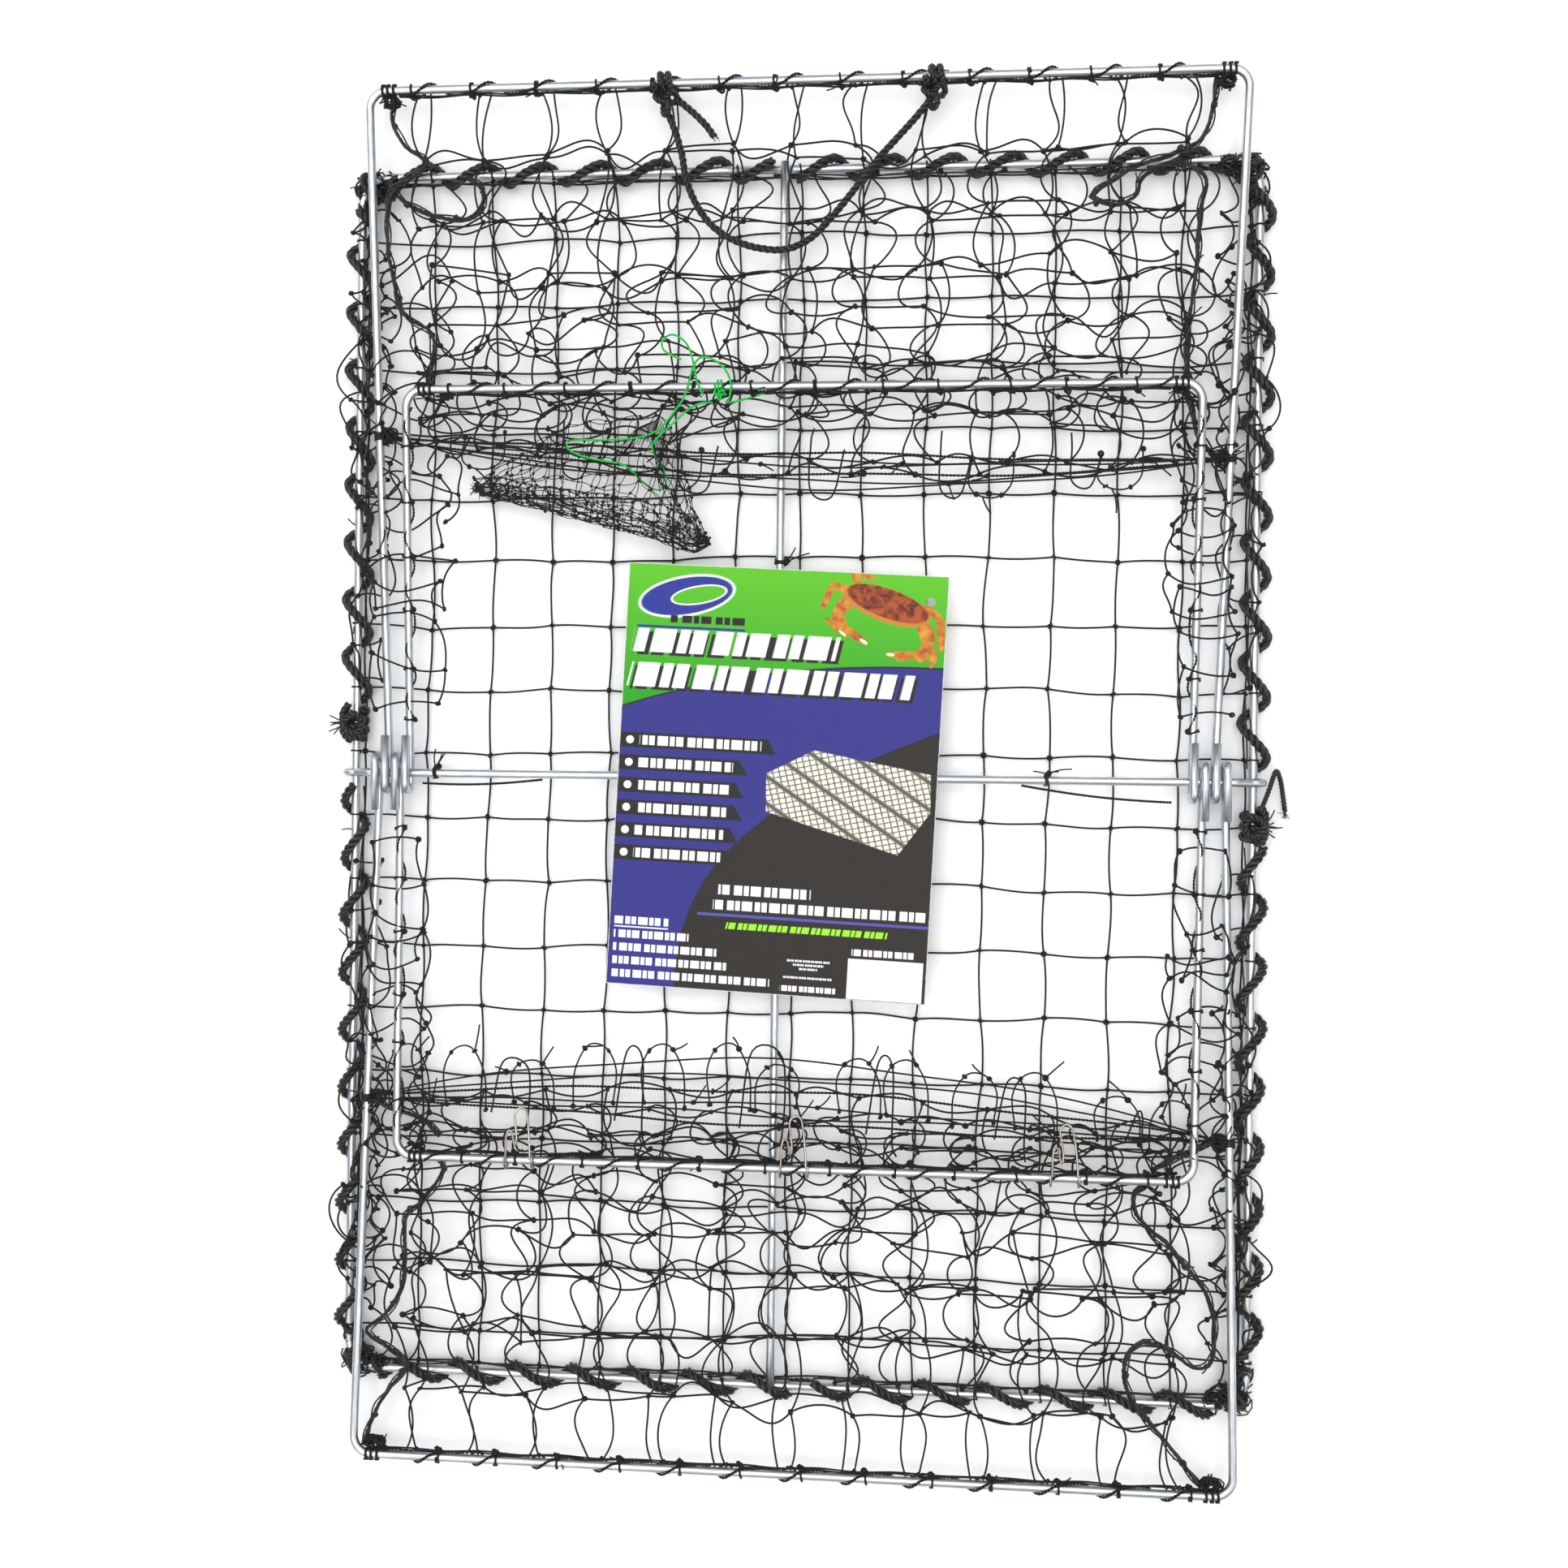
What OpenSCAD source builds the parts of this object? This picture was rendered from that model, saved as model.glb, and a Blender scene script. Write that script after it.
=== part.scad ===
// Folding crab trap, folded flat. +X across, +Y to the end with the carry handle, +Z up.
// The origin is on the floor, under the middle of the axle.

/* [Base] */
// Length of the base ring, outside of the wire
base_length = 813; // [780:1:850]
// Width of the base ring, outside of the wire
base_width = 603; // [603:1:640]
// Bend radius of the ring's corners
base_bend = 20; // [12:1:30]
// Side-to-side place of the long bar
long_bar_x = -10; // [-30:1:30]

/* [Wire] */
// Diameter of the galvanised wire
wire_d = 5.5; // [5:0.1:6]
// Diameter of the clips' wire
clip_d = 1.5; // [1.2:0.1:2]

/* [Folding frames] */
// From the axle to the outer end bars
outer_reach = 456; // [450:1:470]
// From the axle to the inner bars
inner_reach = 256; // [250:1:262]
// Half the width of the outer frames at their end bars
outer_half = 289; // [287:0.5:291]
// Half the width of the inner frames at their bars
inner_half = 261.6; // [260:0.2:263]
// Half the distance between the eyes of the rear inner frame
eye_half = 259; // [258:0.5:260]
// Sideways step from one frame's eyes to the next frame's
eye_step = 7; // [6.5:0.1:7.2]
// Height of the bars when the trap is folded
bar_z = 28; // [27.5:0.1:30]

/* [Netting] */
// Mesh of the base netting across the trap
mesh_x = 41.8; // [38:0.1:44]
// Mesh of the base netting along the trap
mesh_y = 43.3; // [38:0.1:44]
// Diameter of the netting twine
twine_d = 1.2; // [1:0.1:1.6]
// Thickness of the folded netting panels
panel_t = 0.7; // [0.5:0.1:0.8]

/* [Ropes] */
// Diameter of the rope that laces the base netting to the ring
lash_d = 7; // [6:0.1:7]
// Distance between two turns of that rope
lash_pitch = 36; // [30:1:40]
// Distance between two turns of the twine on the bars
twine_pitch = 40; // [30:1:60]
// Diameter of the carry handle's rope
handle_d = 5; // [4:0.1:5]
// Diameter of the bait bag's drawstring
string_d = 1.3; // [1:0.1:1.5]

/* [Card] */
// Width of the header card
card_w = 211; // [200:1:216]
// Length of the header card
card_l = 279; // [260:1:297]

/* [Hidden] */
$fn = 48;

steel = "silver";
black = "#1c1a18";
green = "#19a844";

// Heights, from the floor up
wire_r = wire_d / 2;
lash_r = lash_d / 2;
lash_steps = 8; // straight pieces in one turn of a lacing
gap = 0.15; // between a lacing and its wire
function helix_r(core, r) = (core + r + gap) / cos(180 / lash_steps);
ring_z = helix_r(wire_r, lash_r) + lash_r;
long_bar_z = ring_z + wire_d;
axle_z = ring_z + 2 * wire_d;
base_net_z = 4.4;
lower_panel_z = long_bar_z + wire_r + 0.3;
upper_panel_z = 2 * ring_z + 0.35;
top_panel_z = upper_panel_z + panel_t + 0.4;
ring_x = base_width / 2 - wire_r;
ring_y = base_length / 2 - wire_r;

// Eyes: long hairpins round the axle
eye_r = wire_d + 0.9; // from the axle's centre to each leg's centre
eye_back = 11.5; // from the axle's centre to the centre of the hairpin's end
eye_cut = 25; // from the axle's centre to the cut end of the upper leg
eye_bend = 5.5;
frame_bend = 12;

// Where each panel of netting lies
slit_y = 222; // the entrance slit's lips
cord_y = slit_y - 2.5;
panel_half = 252;
rail_clear = 14; // from the ring's centre line to a panel's edge
bar_clear = 10;

// Ties of the base netting to the bars
axle_tie_x = [-240, 166];
bar_tie_y = 142;

// Carry handle: x, y of its route, left knot to right knot, and of its cut tail
handle_x = 89;
handle_z = top_panel_z + panel_t + handle_d / 2 + 0.4;
knot_r = 4.4 + handle_d / 2;
handle_route = [
    [-89, 449], [-88, 440], [-84, 430], [-80, 419], [-77, 408], [-75, 396], [-71, 384], [-64, 371],
    [-54, 360], [-41, 352], [-25, 347], [-8, 346], [7, 352], [19, 363], [31, 377], [42, 391],
    [53, 405], [64, 417], [75, 429], [84, 440], [89, 449],
];
tail_route = [[-82, 447], [-76, 442], [-69, 436], [-62, 429], [-56, 421]];

// Clips on the front inner bar
clip_x = [-177, 6, 181];
clip_foot = 8;
clip_ring_r = wire_r + twine_d + clip_d / 2 + 0.6; // loose over the bar's twine
clip_reach = 32;

// Bait bag: its outline, and the height of its lower face at bag_y
bag_outline = [
    [-213, 192], [-190, 208], [-153, 230], [-120, 234], [-88, 239], [-78, 220], [-68, 185],
    [-63, 160], [-65, 153], [-97, 162], [-135, 170], [-174, 181],
];
bag_y = 222;
bag_z = upper_panel_z + panel_t + 0.3;
bag_tilt = 6.3;
bag_t = 3;

// Drawstring: x, y, z of its routes
knot_x = -50;
string_route = [
    [-46, 246, 26], [-43, 249, 31], [-42, 257, 34], [-46, 266, 33], [-54, 273, 31], [-62, 275, 30],
    [-67, 270, 30], [-69, 262, 32], [-71, 254, 33], [-74, 247, 31], [-79, 241, 28.5], [-84, 235, 27],
    [-90, 229, 26], [-98, 225, 25.6], [-108, 223, 25.4], [-120, 222, 25.3], [-132, 222, 25.3],
    [-143, 222, 25.3], [-151, 221, 25.2], [-152, 217, 24.8], [-146, 213, 24.3], [-136, 210, 24],
    [-125, 208, 23.8], [-115, 206, 23.5], [-108, 201, 23], [-102, 195, 22.3], [-95, 190, 21.7],
    [-88, 190, 21.7], [-86, 196, 22.4], [-88, 204, 23.3], [-93, 211, 24.1], [-95, 218, 24.9],
    [-91, 223, 27], [-84, 229, 28.5], [-77, 235, 29.5], [-70, 241, 30], [-62, 245, 29], [-55, 246, 26],
];
bow_route = [
    [-60, 249, 34], [-64, 257, 34], [-66, 266, 33], [-68, 274, 31], [-71, 282, 29], [-76, 288, 27],
    [-83, 291, 26], [-89, 287, 26], [-88, 281, 26], [-82, 277, 27], [-76, 274, 28.5],
];
string_tail_route = [
    [-45, 246, 25], [-38, 247, 25.5], [-30, 249, 26], [-23, 251, 26], [-17, 253, 26],
];

function unit(v) = v / norm(v);
function angle_between(a, b) = acos(max(-1, min(1, a * b)));
function at_height(points, z) = [for (p = points) [p[0], p[1], z]];

// ---- Wire ----

// The arc of one bend at corner p, from direction u into direction w
function bend_points(p, u, w, r) =
    let (
        turn = angle_between(u, w),
        c = p + unit(w - u) * r / cos(turn / 2),
        e = unit(p - u * r * tan(turn / 2) - c),
        f = cross(unit(cross(u, w)), e),
        steps = ceil(turn / 13)
    )
        [for (k = [0 : steps]) c + r * (cos(turn * k / steps) * e + sin(turn * k / steps) * f)];

// A wire along points, with a bend of radius rs[i] at point i
module bent_wire(points, rs, d, sides = 16) {
    last = len(points) - 1;
    middle = [
        for (i = [1 : last - 1])
            each bend_points(
                points[i], unit(points[i] - points[i - 1]), unit(points[i + 1] - points[i]), rs[i]
            )
    ];
    tube(concat([points[0]], middle, [points[last]]), d / 2, sides);
}

// Both halves of the trap are drawn for the rear, and the front is the same turned round
module at_end(end) {
    rotate([0, 0, end == "rear" ? 0 : 180]) children();
}

module u_frame(end, eye_x, half, reach) {
    up = axle_z + eye_r;
    low = axle_z - eye_r;
    right = [
        [half, reach, bar_z], [eye_x, -eye_back, low], [eye_x, -eye_back, up], [eye_x, eye_cut, up],
    ];
    left = [for (i = [3 : -1 : 0]) [-right[i][0], right[i][1], right[i][2]]];
    color(steel)
        at_end(end)
            bent_wire(
                concat(left, right),
                [0, eye_bend, eye_bend, frame_bend, frame_bend, eye_bend, eye_bend, 0],
                wire_d
            );
}

// ---- Rope ----

// A tube of the given radius round a list of points. Each ring's first point is carried on
// from the ring before it, so that the tube doesn't twist.
module tube(points, r, sides) {
    n = len(points);
    dirs = [for (i = [0 : n - 1]) unit(points[min(n - 1, i + 1)] - points[max(0, i - 1)])];
    outs = [
        for (
            i = 0, v = unit(cross(dirs[0], [0.02, 0.01, 1]));
            i < n;
            i = i + 1, v = i < n ? unit(v - (v * dirs[i]) * dirs[i]) : v
        ) v
    ];
    rings = [
        for (i = [0 : n - 1])
            let (side = outs[i], top = cross(side, dirs[i]))
                for (k = [0 : sides - 1])
                    points[i] + r * (cos(360 * k / sides) * side + sin(360 * k / sides) * top)
    ];
    tube_skin(rings, n, sides);
}

// Closes rings of points into a solid
module tube_skin(rings, n, sides) {
    walls = [
        for (i = [0 : n - 2])
            for (k = [0 : sides - 1])
                let (a = i * sides + k, b = i * sides + (k + 1) % sides)
                    each [[a, b, b + sides], [a, b + sides, a + sides]]
    ];
    first = [for (k = [sides - 1 : -1 : 0]) k];
    end = [for (k = [0 : sides - 1]) (n - 1) * sides + k];
    polyhedron(points = rings, faces = concat(walls, [first], [end]), convexity = 10);
}

// A rope of radius r laid round a straight core from a to b. u runs along the core, v and w
// square to it; the rope starts on the side that v points to, turned by start degrees.
module lacing(a, b, v, core, r, pitch, start = 0, sides = 6) {
    u = unit(b - a);
    w = cross(u, v);
    hr = helix_r(core, r);
    n = floor(norm(b - a) / pitch * lash_steps) + 1;
    rings = [
        for (i = [0 : n - 1])
            let (
                t = start + 360 * i / lash_steps,
                out = cos(t) * v + sin(t) * w,
                dir = unit(u * pitch + (cos(t) * w - sin(t) * v) * 2 * PI * hr),
                across = cross(dir, out),
                c = a + u * pitch * i / lash_steps + out * hr
            )
                for (k = [0 : sides - 1])
                    c + r * (cos(360 * k / sides) * out + sin(360 * k / sides) * across)
    ];
    tube_skin(rings, n, sides);
}

// Turns of a cord round a core along +X, side by side
module turns(core, r, count, pitch) {
    for (i = [0 : count - 1])
        translate([(i - (count - 1) / 2) * pitch, 0, 0])
            rotate([0, 90, 0])
                rotate_extrude() translate([core + r, 0]) circle(r = r);
}

// ---- Base ----

module base_ring() {
    x = ring_x;
    y = ring_y;
    r = base_bend;
    color(steel)
        translate([0, 0, ring_z]) {
            for (s = [-1, 1]) {
                translate([s * x, 0, 0])
                    rotate([90, 0, 0]) cylinder(d = wire_d, h = 2 * (y - r), center = true);
                translate([0, s * y, 0])
                    rotate([0, 90, 0]) cylinder(d = wire_d, h = 2 * (x - r), center = true);
            }
            for (q = [0 : 3])
                translate([(q == 0 || q == 3 ? 1 : -1) * (x - r), (q < 2 ? 1 : -1) * (y - r), 0])
                    rotate([0, 0, 90 * q])
                        rotate_extrude(angle = 90) translate([r, 0]) circle(d = wire_d);
        }
}

module long_bar() {
    past = 3;
    color(steel)
        translate([long_bar_x, 0, long_bar_z])
            rotate([90, 0, 0])
                cylinder(d = wire_d, h = 2 * (ring_y + past), center = true);
}

// The axle's ends step down and hook round the outside of the side rails
module axle_bar() {
    hook = wire_d + 0.3;
    side = [
        [eye_half + 3 * eye_step + 6, 0, axle_z],
        [ring_x - 2, 0, ring_z + hook],
        [ring_x + hook, 0, ring_z + hook],
        [ring_x + hook, 0, ring_z - 3],
    ];
    other = [for (i = [3 : -1 : 0]) [-side[i][0], 0, side[i][2]]];
    color(steel)
        bent_wire(concat(other, side), [0, hook - 0.5, 5, 5, 5, 5, hook - 0.5, 0], wire_d);
}

module base_netting() {
    x = ring_x - 11;
    y = ring_y - 11;
    first = 14.6;
    color(black)
        translate([0, 0, base_net_z])
            linear_extrude(twine_d)
                intersection() {
                    square([2 * x, 2 * y], center = true);
                    union() {
                        for (i = [-6 : 6])
                            translate([i * mesh_x - twine_d / 2, -y]) square([twine_d, 2 * y]);
                        for (i = [-9 : 8])
                            translate([-x, first + i * mesh_y - twine_d / 2]) square([2 * x, twine_d]);
                        difference() {
                            square([2 * x, 2 * y], center = true);
                            square([2 * x - 3 * twine_d, 2 * y - 3 * twine_d], center = true);
                        }
                    }
                }
}

// The rope round one side rail, with room for the axle's hook and for the knot at knot_y
module side_lashing(s, knot_y) {
    end = ring_y - base_bend - 4;
    ends = knot_y > 0 ? [-8, knot_y + 14] : [knot_y - 14, 8];
    for (run = [[-end, ends[0]], [ends[1], end]])
        let (whole = floor((run[1] - run[0]) / lash_pitch) * lash_pitch, y = run[0])
            lacing(
                [s * ring_x, y, ring_z], [s * ring_x, y + whole, ring_z],
                [0, 0, -1], wire_r, lash_r, lash_pitch
            );
}

// The rope round one end rail passes below the long bar
module end_lashing(s) {
    before = 7 * lash_pitch;
    color(black)
        lacing(
            [long_bar_x - before, s * ring_y, ring_z], [long_bar_x + before, s * ring_y, ring_z],
            [0, 0, -1], wire_r, lash_r, lash_pitch
        );
}

left_knot_y = 33;
right_knot_y = -28;

module lashing_left() { color(black) side_lashing(-1, left_knot_y); }
module lashing_right() { color(black) side_lashing(1, right_knot_y); }
module lashing_front() { end_lashing(-1); }
module lashing_rear() { end_lashing(1); }

// Bunched rope at each corner of the ring
module corner_seizings() {
    inset = base_bend * (1 - sqrt(0.5));
    color(black)
        for (x = [-1, 1], y = [-1, 1])
            translate([x * (ring_x - inset), y * (ring_y - inset), ring_z])
                sphere(r = 9.5);
}

module rail_knots() {
    color(black)
        for (k = [[-1, left_knot_y], [1, right_knot_y]])
            translate([k[0] * ring_x, k[1], ring_z])
                rotate([0, 0, 90]) turns(wire_r + gap, lash_r - gap, 3, lash_d + 0.1);
}

module bar_ties() {
    r = twine_d / 2;
    color(black) {
        for (x = axle_tie_x)
            translate([x, 0, axle_z]) turns(wire_r + gap, r, 2, 1.5 * twine_d);
        translate([long_bar_x, bar_tie_y, long_bar_z])
            rotate([0, 0, 90]) turns(wire_r + gap, r, 2, 1.5 * twine_d);
    }
}

module header_card() {
    hole_d = 6;
    hole = [card_w / 2 - 11, card_l / 2 - 17];
    color("#3d3f8f")
        translate([-10, -3, axle_z + wire_r + 0.3])
            rotate([0, 0, -2.6])
                linear_extrude(0.6)
                    difference() {
                        square([card_w, card_l], center = true);
                        translate(hole) circle(d = hole_d);
                    }
}

// ---- Netting panels ----

module panel(x0, x1, y0, y1, z, t) {
    color(black)
        translate([x0, y0, z]) cube([x1 - x0, y1 - y0, t]);
}

module funnel_lower(end) {
    at_end(end)
        panel(-panel_half, panel_half, slit_y, ring_y - rail_clear, lower_panel_z, panel_t);
}

module funnel_upper(end) {
    at_end(end)
        panel(-panel_half, panel_half, slit_y, outer_reach - bar_clear, upper_panel_z, panel_t);
}

module top_netting(end) {
    at_end(end)
        panel(
            -panel_half, panel_half, inner_reach + bar_clear, outer_reach - bar_clear,
            top_panel_z, panel_t
        );
}

// Between the base ring's rail and an outer arm
module side_netting(end, s) {
    x = ring_x - 14;
    at_end(end)
        panel(min(s * x, s * (x + 3)), max(s * x, s * (x + 3)), 35, ring_y - 20, 11.2, 4.5);
}

// Between an outer arm and an inner arm
module gusset(end, s) {
    x = end == "rear" ? 265.5 : 270.5;
    at_end(end)
        panel(min(s * x, s * (x + 4)), max(s * x, s * (x + 4)), 35, ring_y - 20, 13, 4.5);
}

module slit_cord(end) {
    half = 276;
    color(black)
        at_end(end)
            translate([-half, cord_y, upper_panel_z - 0.9])
                rotate([0, 90, 0]) cylinder(r = 0.7, h = 2 * half);
}

// Twine turns that tie the slit's cord to the outer arms
module slit_ties(end) {
    eye_x = eye_half + (end == "rear" ? 2 : 3) * eye_step;
    low = [eye_x, -eye_back, axle_z - eye_r];
    high = [outer_half, outer_reach, bar_z];
    at = low + (high - low) * (cord_y + eye_back) / (outer_reach + eye_back);
    dir = unit(high - low);
    color(black)
        at_end(end)
            for (s = [-1, 1])
                translate([s * at[0], at[1], at[2]])
                    rotate([0, 0, s > 0 ? atan2(dir[1], dir[0]) : 180 - atan2(dir[1], dir[0])])
                        turns(wire_r + gap, twine_d / 2, 2, 1.5 * twine_d);
}

// ---- Twine on the bars ----

module bar_twine(end, half, reach) {
    from = half - frame_bend - 6;
    count = floor(2 * from / twine_pitch);
    x = count * twine_pitch / 2;
    color(black)
        at_end(end)
            lacing(
                [-x, reach, bar_z], [x, reach, bar_z],
                [0, 0, -1], wire_r, twine_d / 2, twine_pitch, sides = 5
            );
}

// ---- Carry handle ----

module handle_rope() { color(black) tube(at_height(handle_route, handle_z), handle_d / 2, 10); }
module handle_tail() { color(black) tube(at_height(tail_route, handle_z), handle_d / 2, 10); }

module handle_knot(s) {
    color(black)
        translate([s * handle_x, outer_reach, bar_z])
            turns(knot_r - handle_d / 2, handle_d / 2, 3, handle_d + 0.1);
}

module handle_knot_left() { handle_knot(-1); }
module handle_knot_right() { handle_knot(1); }

// ---- Clips ----

// A wire clip: two rings on the bar, and an arch that hooks over the other inner bar
module clip(x) {
    z = clip_ring_r;
    tip = clip_foot - 1.5;
    color(steel)
        translate([x, -inner_reach, bar_z]) {
            bent_wire(
                [
                    [-clip_foot, 1, z], [-tip, clip_reach - 5, z], [-tip, clip_reach, -2],
                    [tip, clip_reach, -2], [tip, clip_reach - 5, z], [clip_foot, 1, z],
                ],
                [0, 3, 4, 4, 3, 0],
                clip_d
            );
            for (s = [-1, 1])
                translate([s * clip_foot, 0, 0])
                    rotate([0, 90, 0]) rotate_extrude() translate([z, 0]) circle(d = clip_d);
        }
}

// ---- Bait bag ----

module bait_bag() {
    color(black)
        translate([0, bag_y, bag_z])
            rotate([bag_tilt, 0, 0])
                translate([0, -bag_y, 0])
                    linear_extrude(bag_t) polygon(bag_outline);
}

module drawstring() { color(green) tube(string_route, string_d / 2, 8); }
module drawstring_bow() { color(green) tube(bow_route, string_d / 2, 8); }
module drawstring_tail() { color(green) tube(string_tail_route, string_d / 2, 8); }

module drawstring_knot() {
    color(green)
        translate([knot_x, inner_reach, bar_z])
            turns(4.3, 0.8, 2, 1.7);
}

base_ring();
long_bar();
axle_bar();
base_netting();
lashing_left();
lashing_right();
lashing_front();
lashing_rear();
corner_seizings();
rail_knots();
bar_ties();
header_card();
funnel_lower("rear");  // rear_funnel_lower
funnel_lower("front");  // front_funnel_lower
side_netting("rear", -1);  // rear_left_side_netting
side_netting("rear", 1);  // rear_right_side_netting
side_netting("front", 1);  // front_left_side_netting
side_netting("front", -1);  // front_right_side_netting
u_frame("rear", eye_half + 2 * eye_step, outer_half, outer_reach);  // rear_outer_frame
bar_twine("rear", outer_half, outer_reach);  // rear_outer_twine
funnel_upper("rear");  // rear_funnel_upper
slit_cord("rear");  // rear_slit_cord
slit_ties("rear");  // rear_slit_ties
top_netting("rear");  // rear_top_netting
gusset("rear", -1);  // rear_left_gusset
gusset("rear", 1);  // rear_right_gusset
u_frame("front", eye_half + 3 * eye_step, outer_half, outer_reach);  // front_outer_frame
bar_twine("front", outer_half, outer_reach);  // front_outer_twine
funnel_upper("front");  // front_funnel_upper
slit_cord("front");  // front_slit_cord
slit_ties("front");  // front_slit_ties
top_netting("front");  // front_top_netting
gusset("front", 1);  // front_left_gusset
gusset("front", -1);  // front_right_gusset
u_frame("rear", eye_half, inner_half, inner_reach);  // rear_inner_frame
bar_twine("rear", inner_half, inner_reach);  // rear_inner_twine
u_frame("front", eye_half + eye_step, inner_half, inner_reach);  // front_inner_frame
bar_twine("front", inner_half, inner_reach);  // front_inner_twine
handle_rope();
handle_tail();
handle_knot_left();
handle_knot_right();
clip(clip_x[0]);  // clip_left
clip(clip_x[1]);  // clip_middle
clip(clip_x[2]);  // clip_right
bait_bag();
drawstring();
drawstring_bow();
drawstring_tail();
drawstring_knot();
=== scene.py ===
"""Folding crab trap, folded flat. Lengths are in millimetres until a mesh is made."""
import math
from functools import reduce

import bpy
import numpy as np
from mathutils import Matrix
from numpy import cos, sin


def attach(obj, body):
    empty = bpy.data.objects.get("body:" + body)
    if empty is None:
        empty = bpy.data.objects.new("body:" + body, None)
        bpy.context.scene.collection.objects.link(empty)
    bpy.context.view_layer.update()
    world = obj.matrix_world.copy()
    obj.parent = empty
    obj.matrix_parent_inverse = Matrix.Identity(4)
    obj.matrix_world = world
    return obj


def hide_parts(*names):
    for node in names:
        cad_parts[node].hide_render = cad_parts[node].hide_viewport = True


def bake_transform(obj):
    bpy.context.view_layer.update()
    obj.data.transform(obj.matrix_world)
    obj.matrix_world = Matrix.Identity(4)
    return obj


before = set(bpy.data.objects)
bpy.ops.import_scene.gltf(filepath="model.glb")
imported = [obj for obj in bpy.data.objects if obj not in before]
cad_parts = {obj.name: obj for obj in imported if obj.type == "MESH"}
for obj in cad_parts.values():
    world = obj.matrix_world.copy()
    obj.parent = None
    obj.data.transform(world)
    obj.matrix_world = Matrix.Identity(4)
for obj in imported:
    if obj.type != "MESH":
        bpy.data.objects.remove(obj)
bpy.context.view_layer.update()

MM = 0.001
TAU = math.tau
RNG = np.random.default_rng(11)
SCENE = bpy.context.scene
SCENE.view_settings.view_transform = "Standard"  # colour management: the default greys the floor


def put(obj):
    SCENE.collection.objects.link(obj)
    return obj


# ---- Camera ----

FILM = 36.0
LENS_TO_FILM = 1.12264  # solved, like the place, from the wire frame's corners

camera = put(bpy.data.objects.new("camera", bpy.data.cameras.new("camera")))
camera.matrix_world = Matrix(
    (
        (0.99506168, -0.01241324, 0.09847922, 0.10896),
        (0.01240841, 0.99992279, 0.00066146, -0.00362),
        (-0.09847982, 0.00056378, 0.99513889, 1.17367),
        (0, 0, 0, 1),
    )
)
camera.data.sensor_width = FILM
camera.data.lens = FILM * LENS_TO_FILM
camera.data.dof.use_dof = False
SCENE.camera = camera


# ---- Materials ----


class Value:
    """A shader value. Arithmetic on it adds math nodes to its material."""

    def __init__(self, nodes, socket):
        self.nodes, self.socket = nodes, socket

    def __add__(self, other):
        return self.nodes.math("ADD", self, other)

    def __sub__(self, other):
        return self.nodes.math("SUBTRACT", self, other)

    def __rsub__(self, other):
        return self.nodes.math("SUBTRACT", other, self)

    def __mul__(self, other):
        return self.nodes.math("MULTIPLY", self, other)

    def __truediv__(self, other):
        return self.nodes.math("DIVIDE", self, other)

    def __abs__(self):
        return self.nodes.math("ABSOLUTE", self)


class Nodes:
    """Shader nodes of one material, added by short calls."""

    def __init__(self, name):
        self.material = bpy.data.materials.new(name)
        self.material.use_nodes = True
        self.tree = self.material.node_tree
        self.tree.nodes.clear()
        self.shader = self.add("ShaderNodeBsdfPrincipled")
        self.add("ShaderNodeOutputMaterial", {0: self.shader.outputs[0]})

    def add(self, kind, inputs=(), **settings):
        node = self.tree.nodes.new(kind)
        for key, value in settings.items():
            setattr(node, key, value)
        for socket, value in dict(inputs).items():
            self.set(node, socket, value)
        return node

    def set(self, node, socket, value):
        value = value.socket if isinstance(value, Value) else value
        if isinstance(value, bpy.types.NodeSocket):
            self.tree.links.new(value, node.inputs[socket])
        else:
            node.inputs[socket].default_value = value

    def math(self, operation, a, b=0.0, clamp=False):
        node = self.add("ShaderNodeMath", {0: a, 1: b}, operation=operation, use_clamp=clamp)
        return Value(self, node.outputs[0])

    def sine(self, value):
        return self.math("SINE", value)

    def vector(self, operation, a, b):
        node = self.add("ShaderNodeVectorMath", {0: a, 1: b}, operation=operation)
        return Value(self, node.outputs[0])

    def mix(self, factor, a, b):
        """From colour a to colour b. A colour is a value or red, green and blue."""
        a, b = (v if isinstance(v, Value) else (*v, 1.0) for v in (a, b))
        node = self.add("ShaderNodeMix", {0: factor, 6: a, 7: b}, data_type="RGBA")
        return Value(self, node.outputs[2])

    def noise(self, vector, scale, detail=3.0, rough=0.55):
        inputs = {"Vector": vector, "Scale": scale, "Detail": detail, "Roughness": rough}
        return Value(self, self.add("ShaderNodeTexNoise", inputs).outputs[0])

    def ramp(self, value, low, high, to_low=0.0, to_high=1.0):
        inputs = dict(enumerate((value, low, high, to_low, to_high)))
        return Value(self, self.add("ShaderNodeMapRange", inputs).outputs[0])

    def place(self, scale=(1, 1, 1), uv=False):
        coords = self.add("ShaderNodeTexCoord").outputs["UV" if uv else "Object"]
        return self.vector("MULTIPLY", coords, scale)

    def split(self, vector):
        """The first two parts of a vector."""
        node = self.add("ShaderNodeSeparateXYZ", {0: vector})
        return Value(self, node.outputs[0]), Value(self, node.outputs[1])

    def bump(self, height, distance, strength):
        inputs = {"Height": height, "Distance": distance, "Strength": strength}
        self.set(self.shader, "Normal", self.add("ShaderNodeBump", inputs).outputs[0])

    def finish(self, **values):
        for socket, value in values.items():
            self.set(self.shader, socket.replace("_", " "), value)
        return self.material


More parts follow.
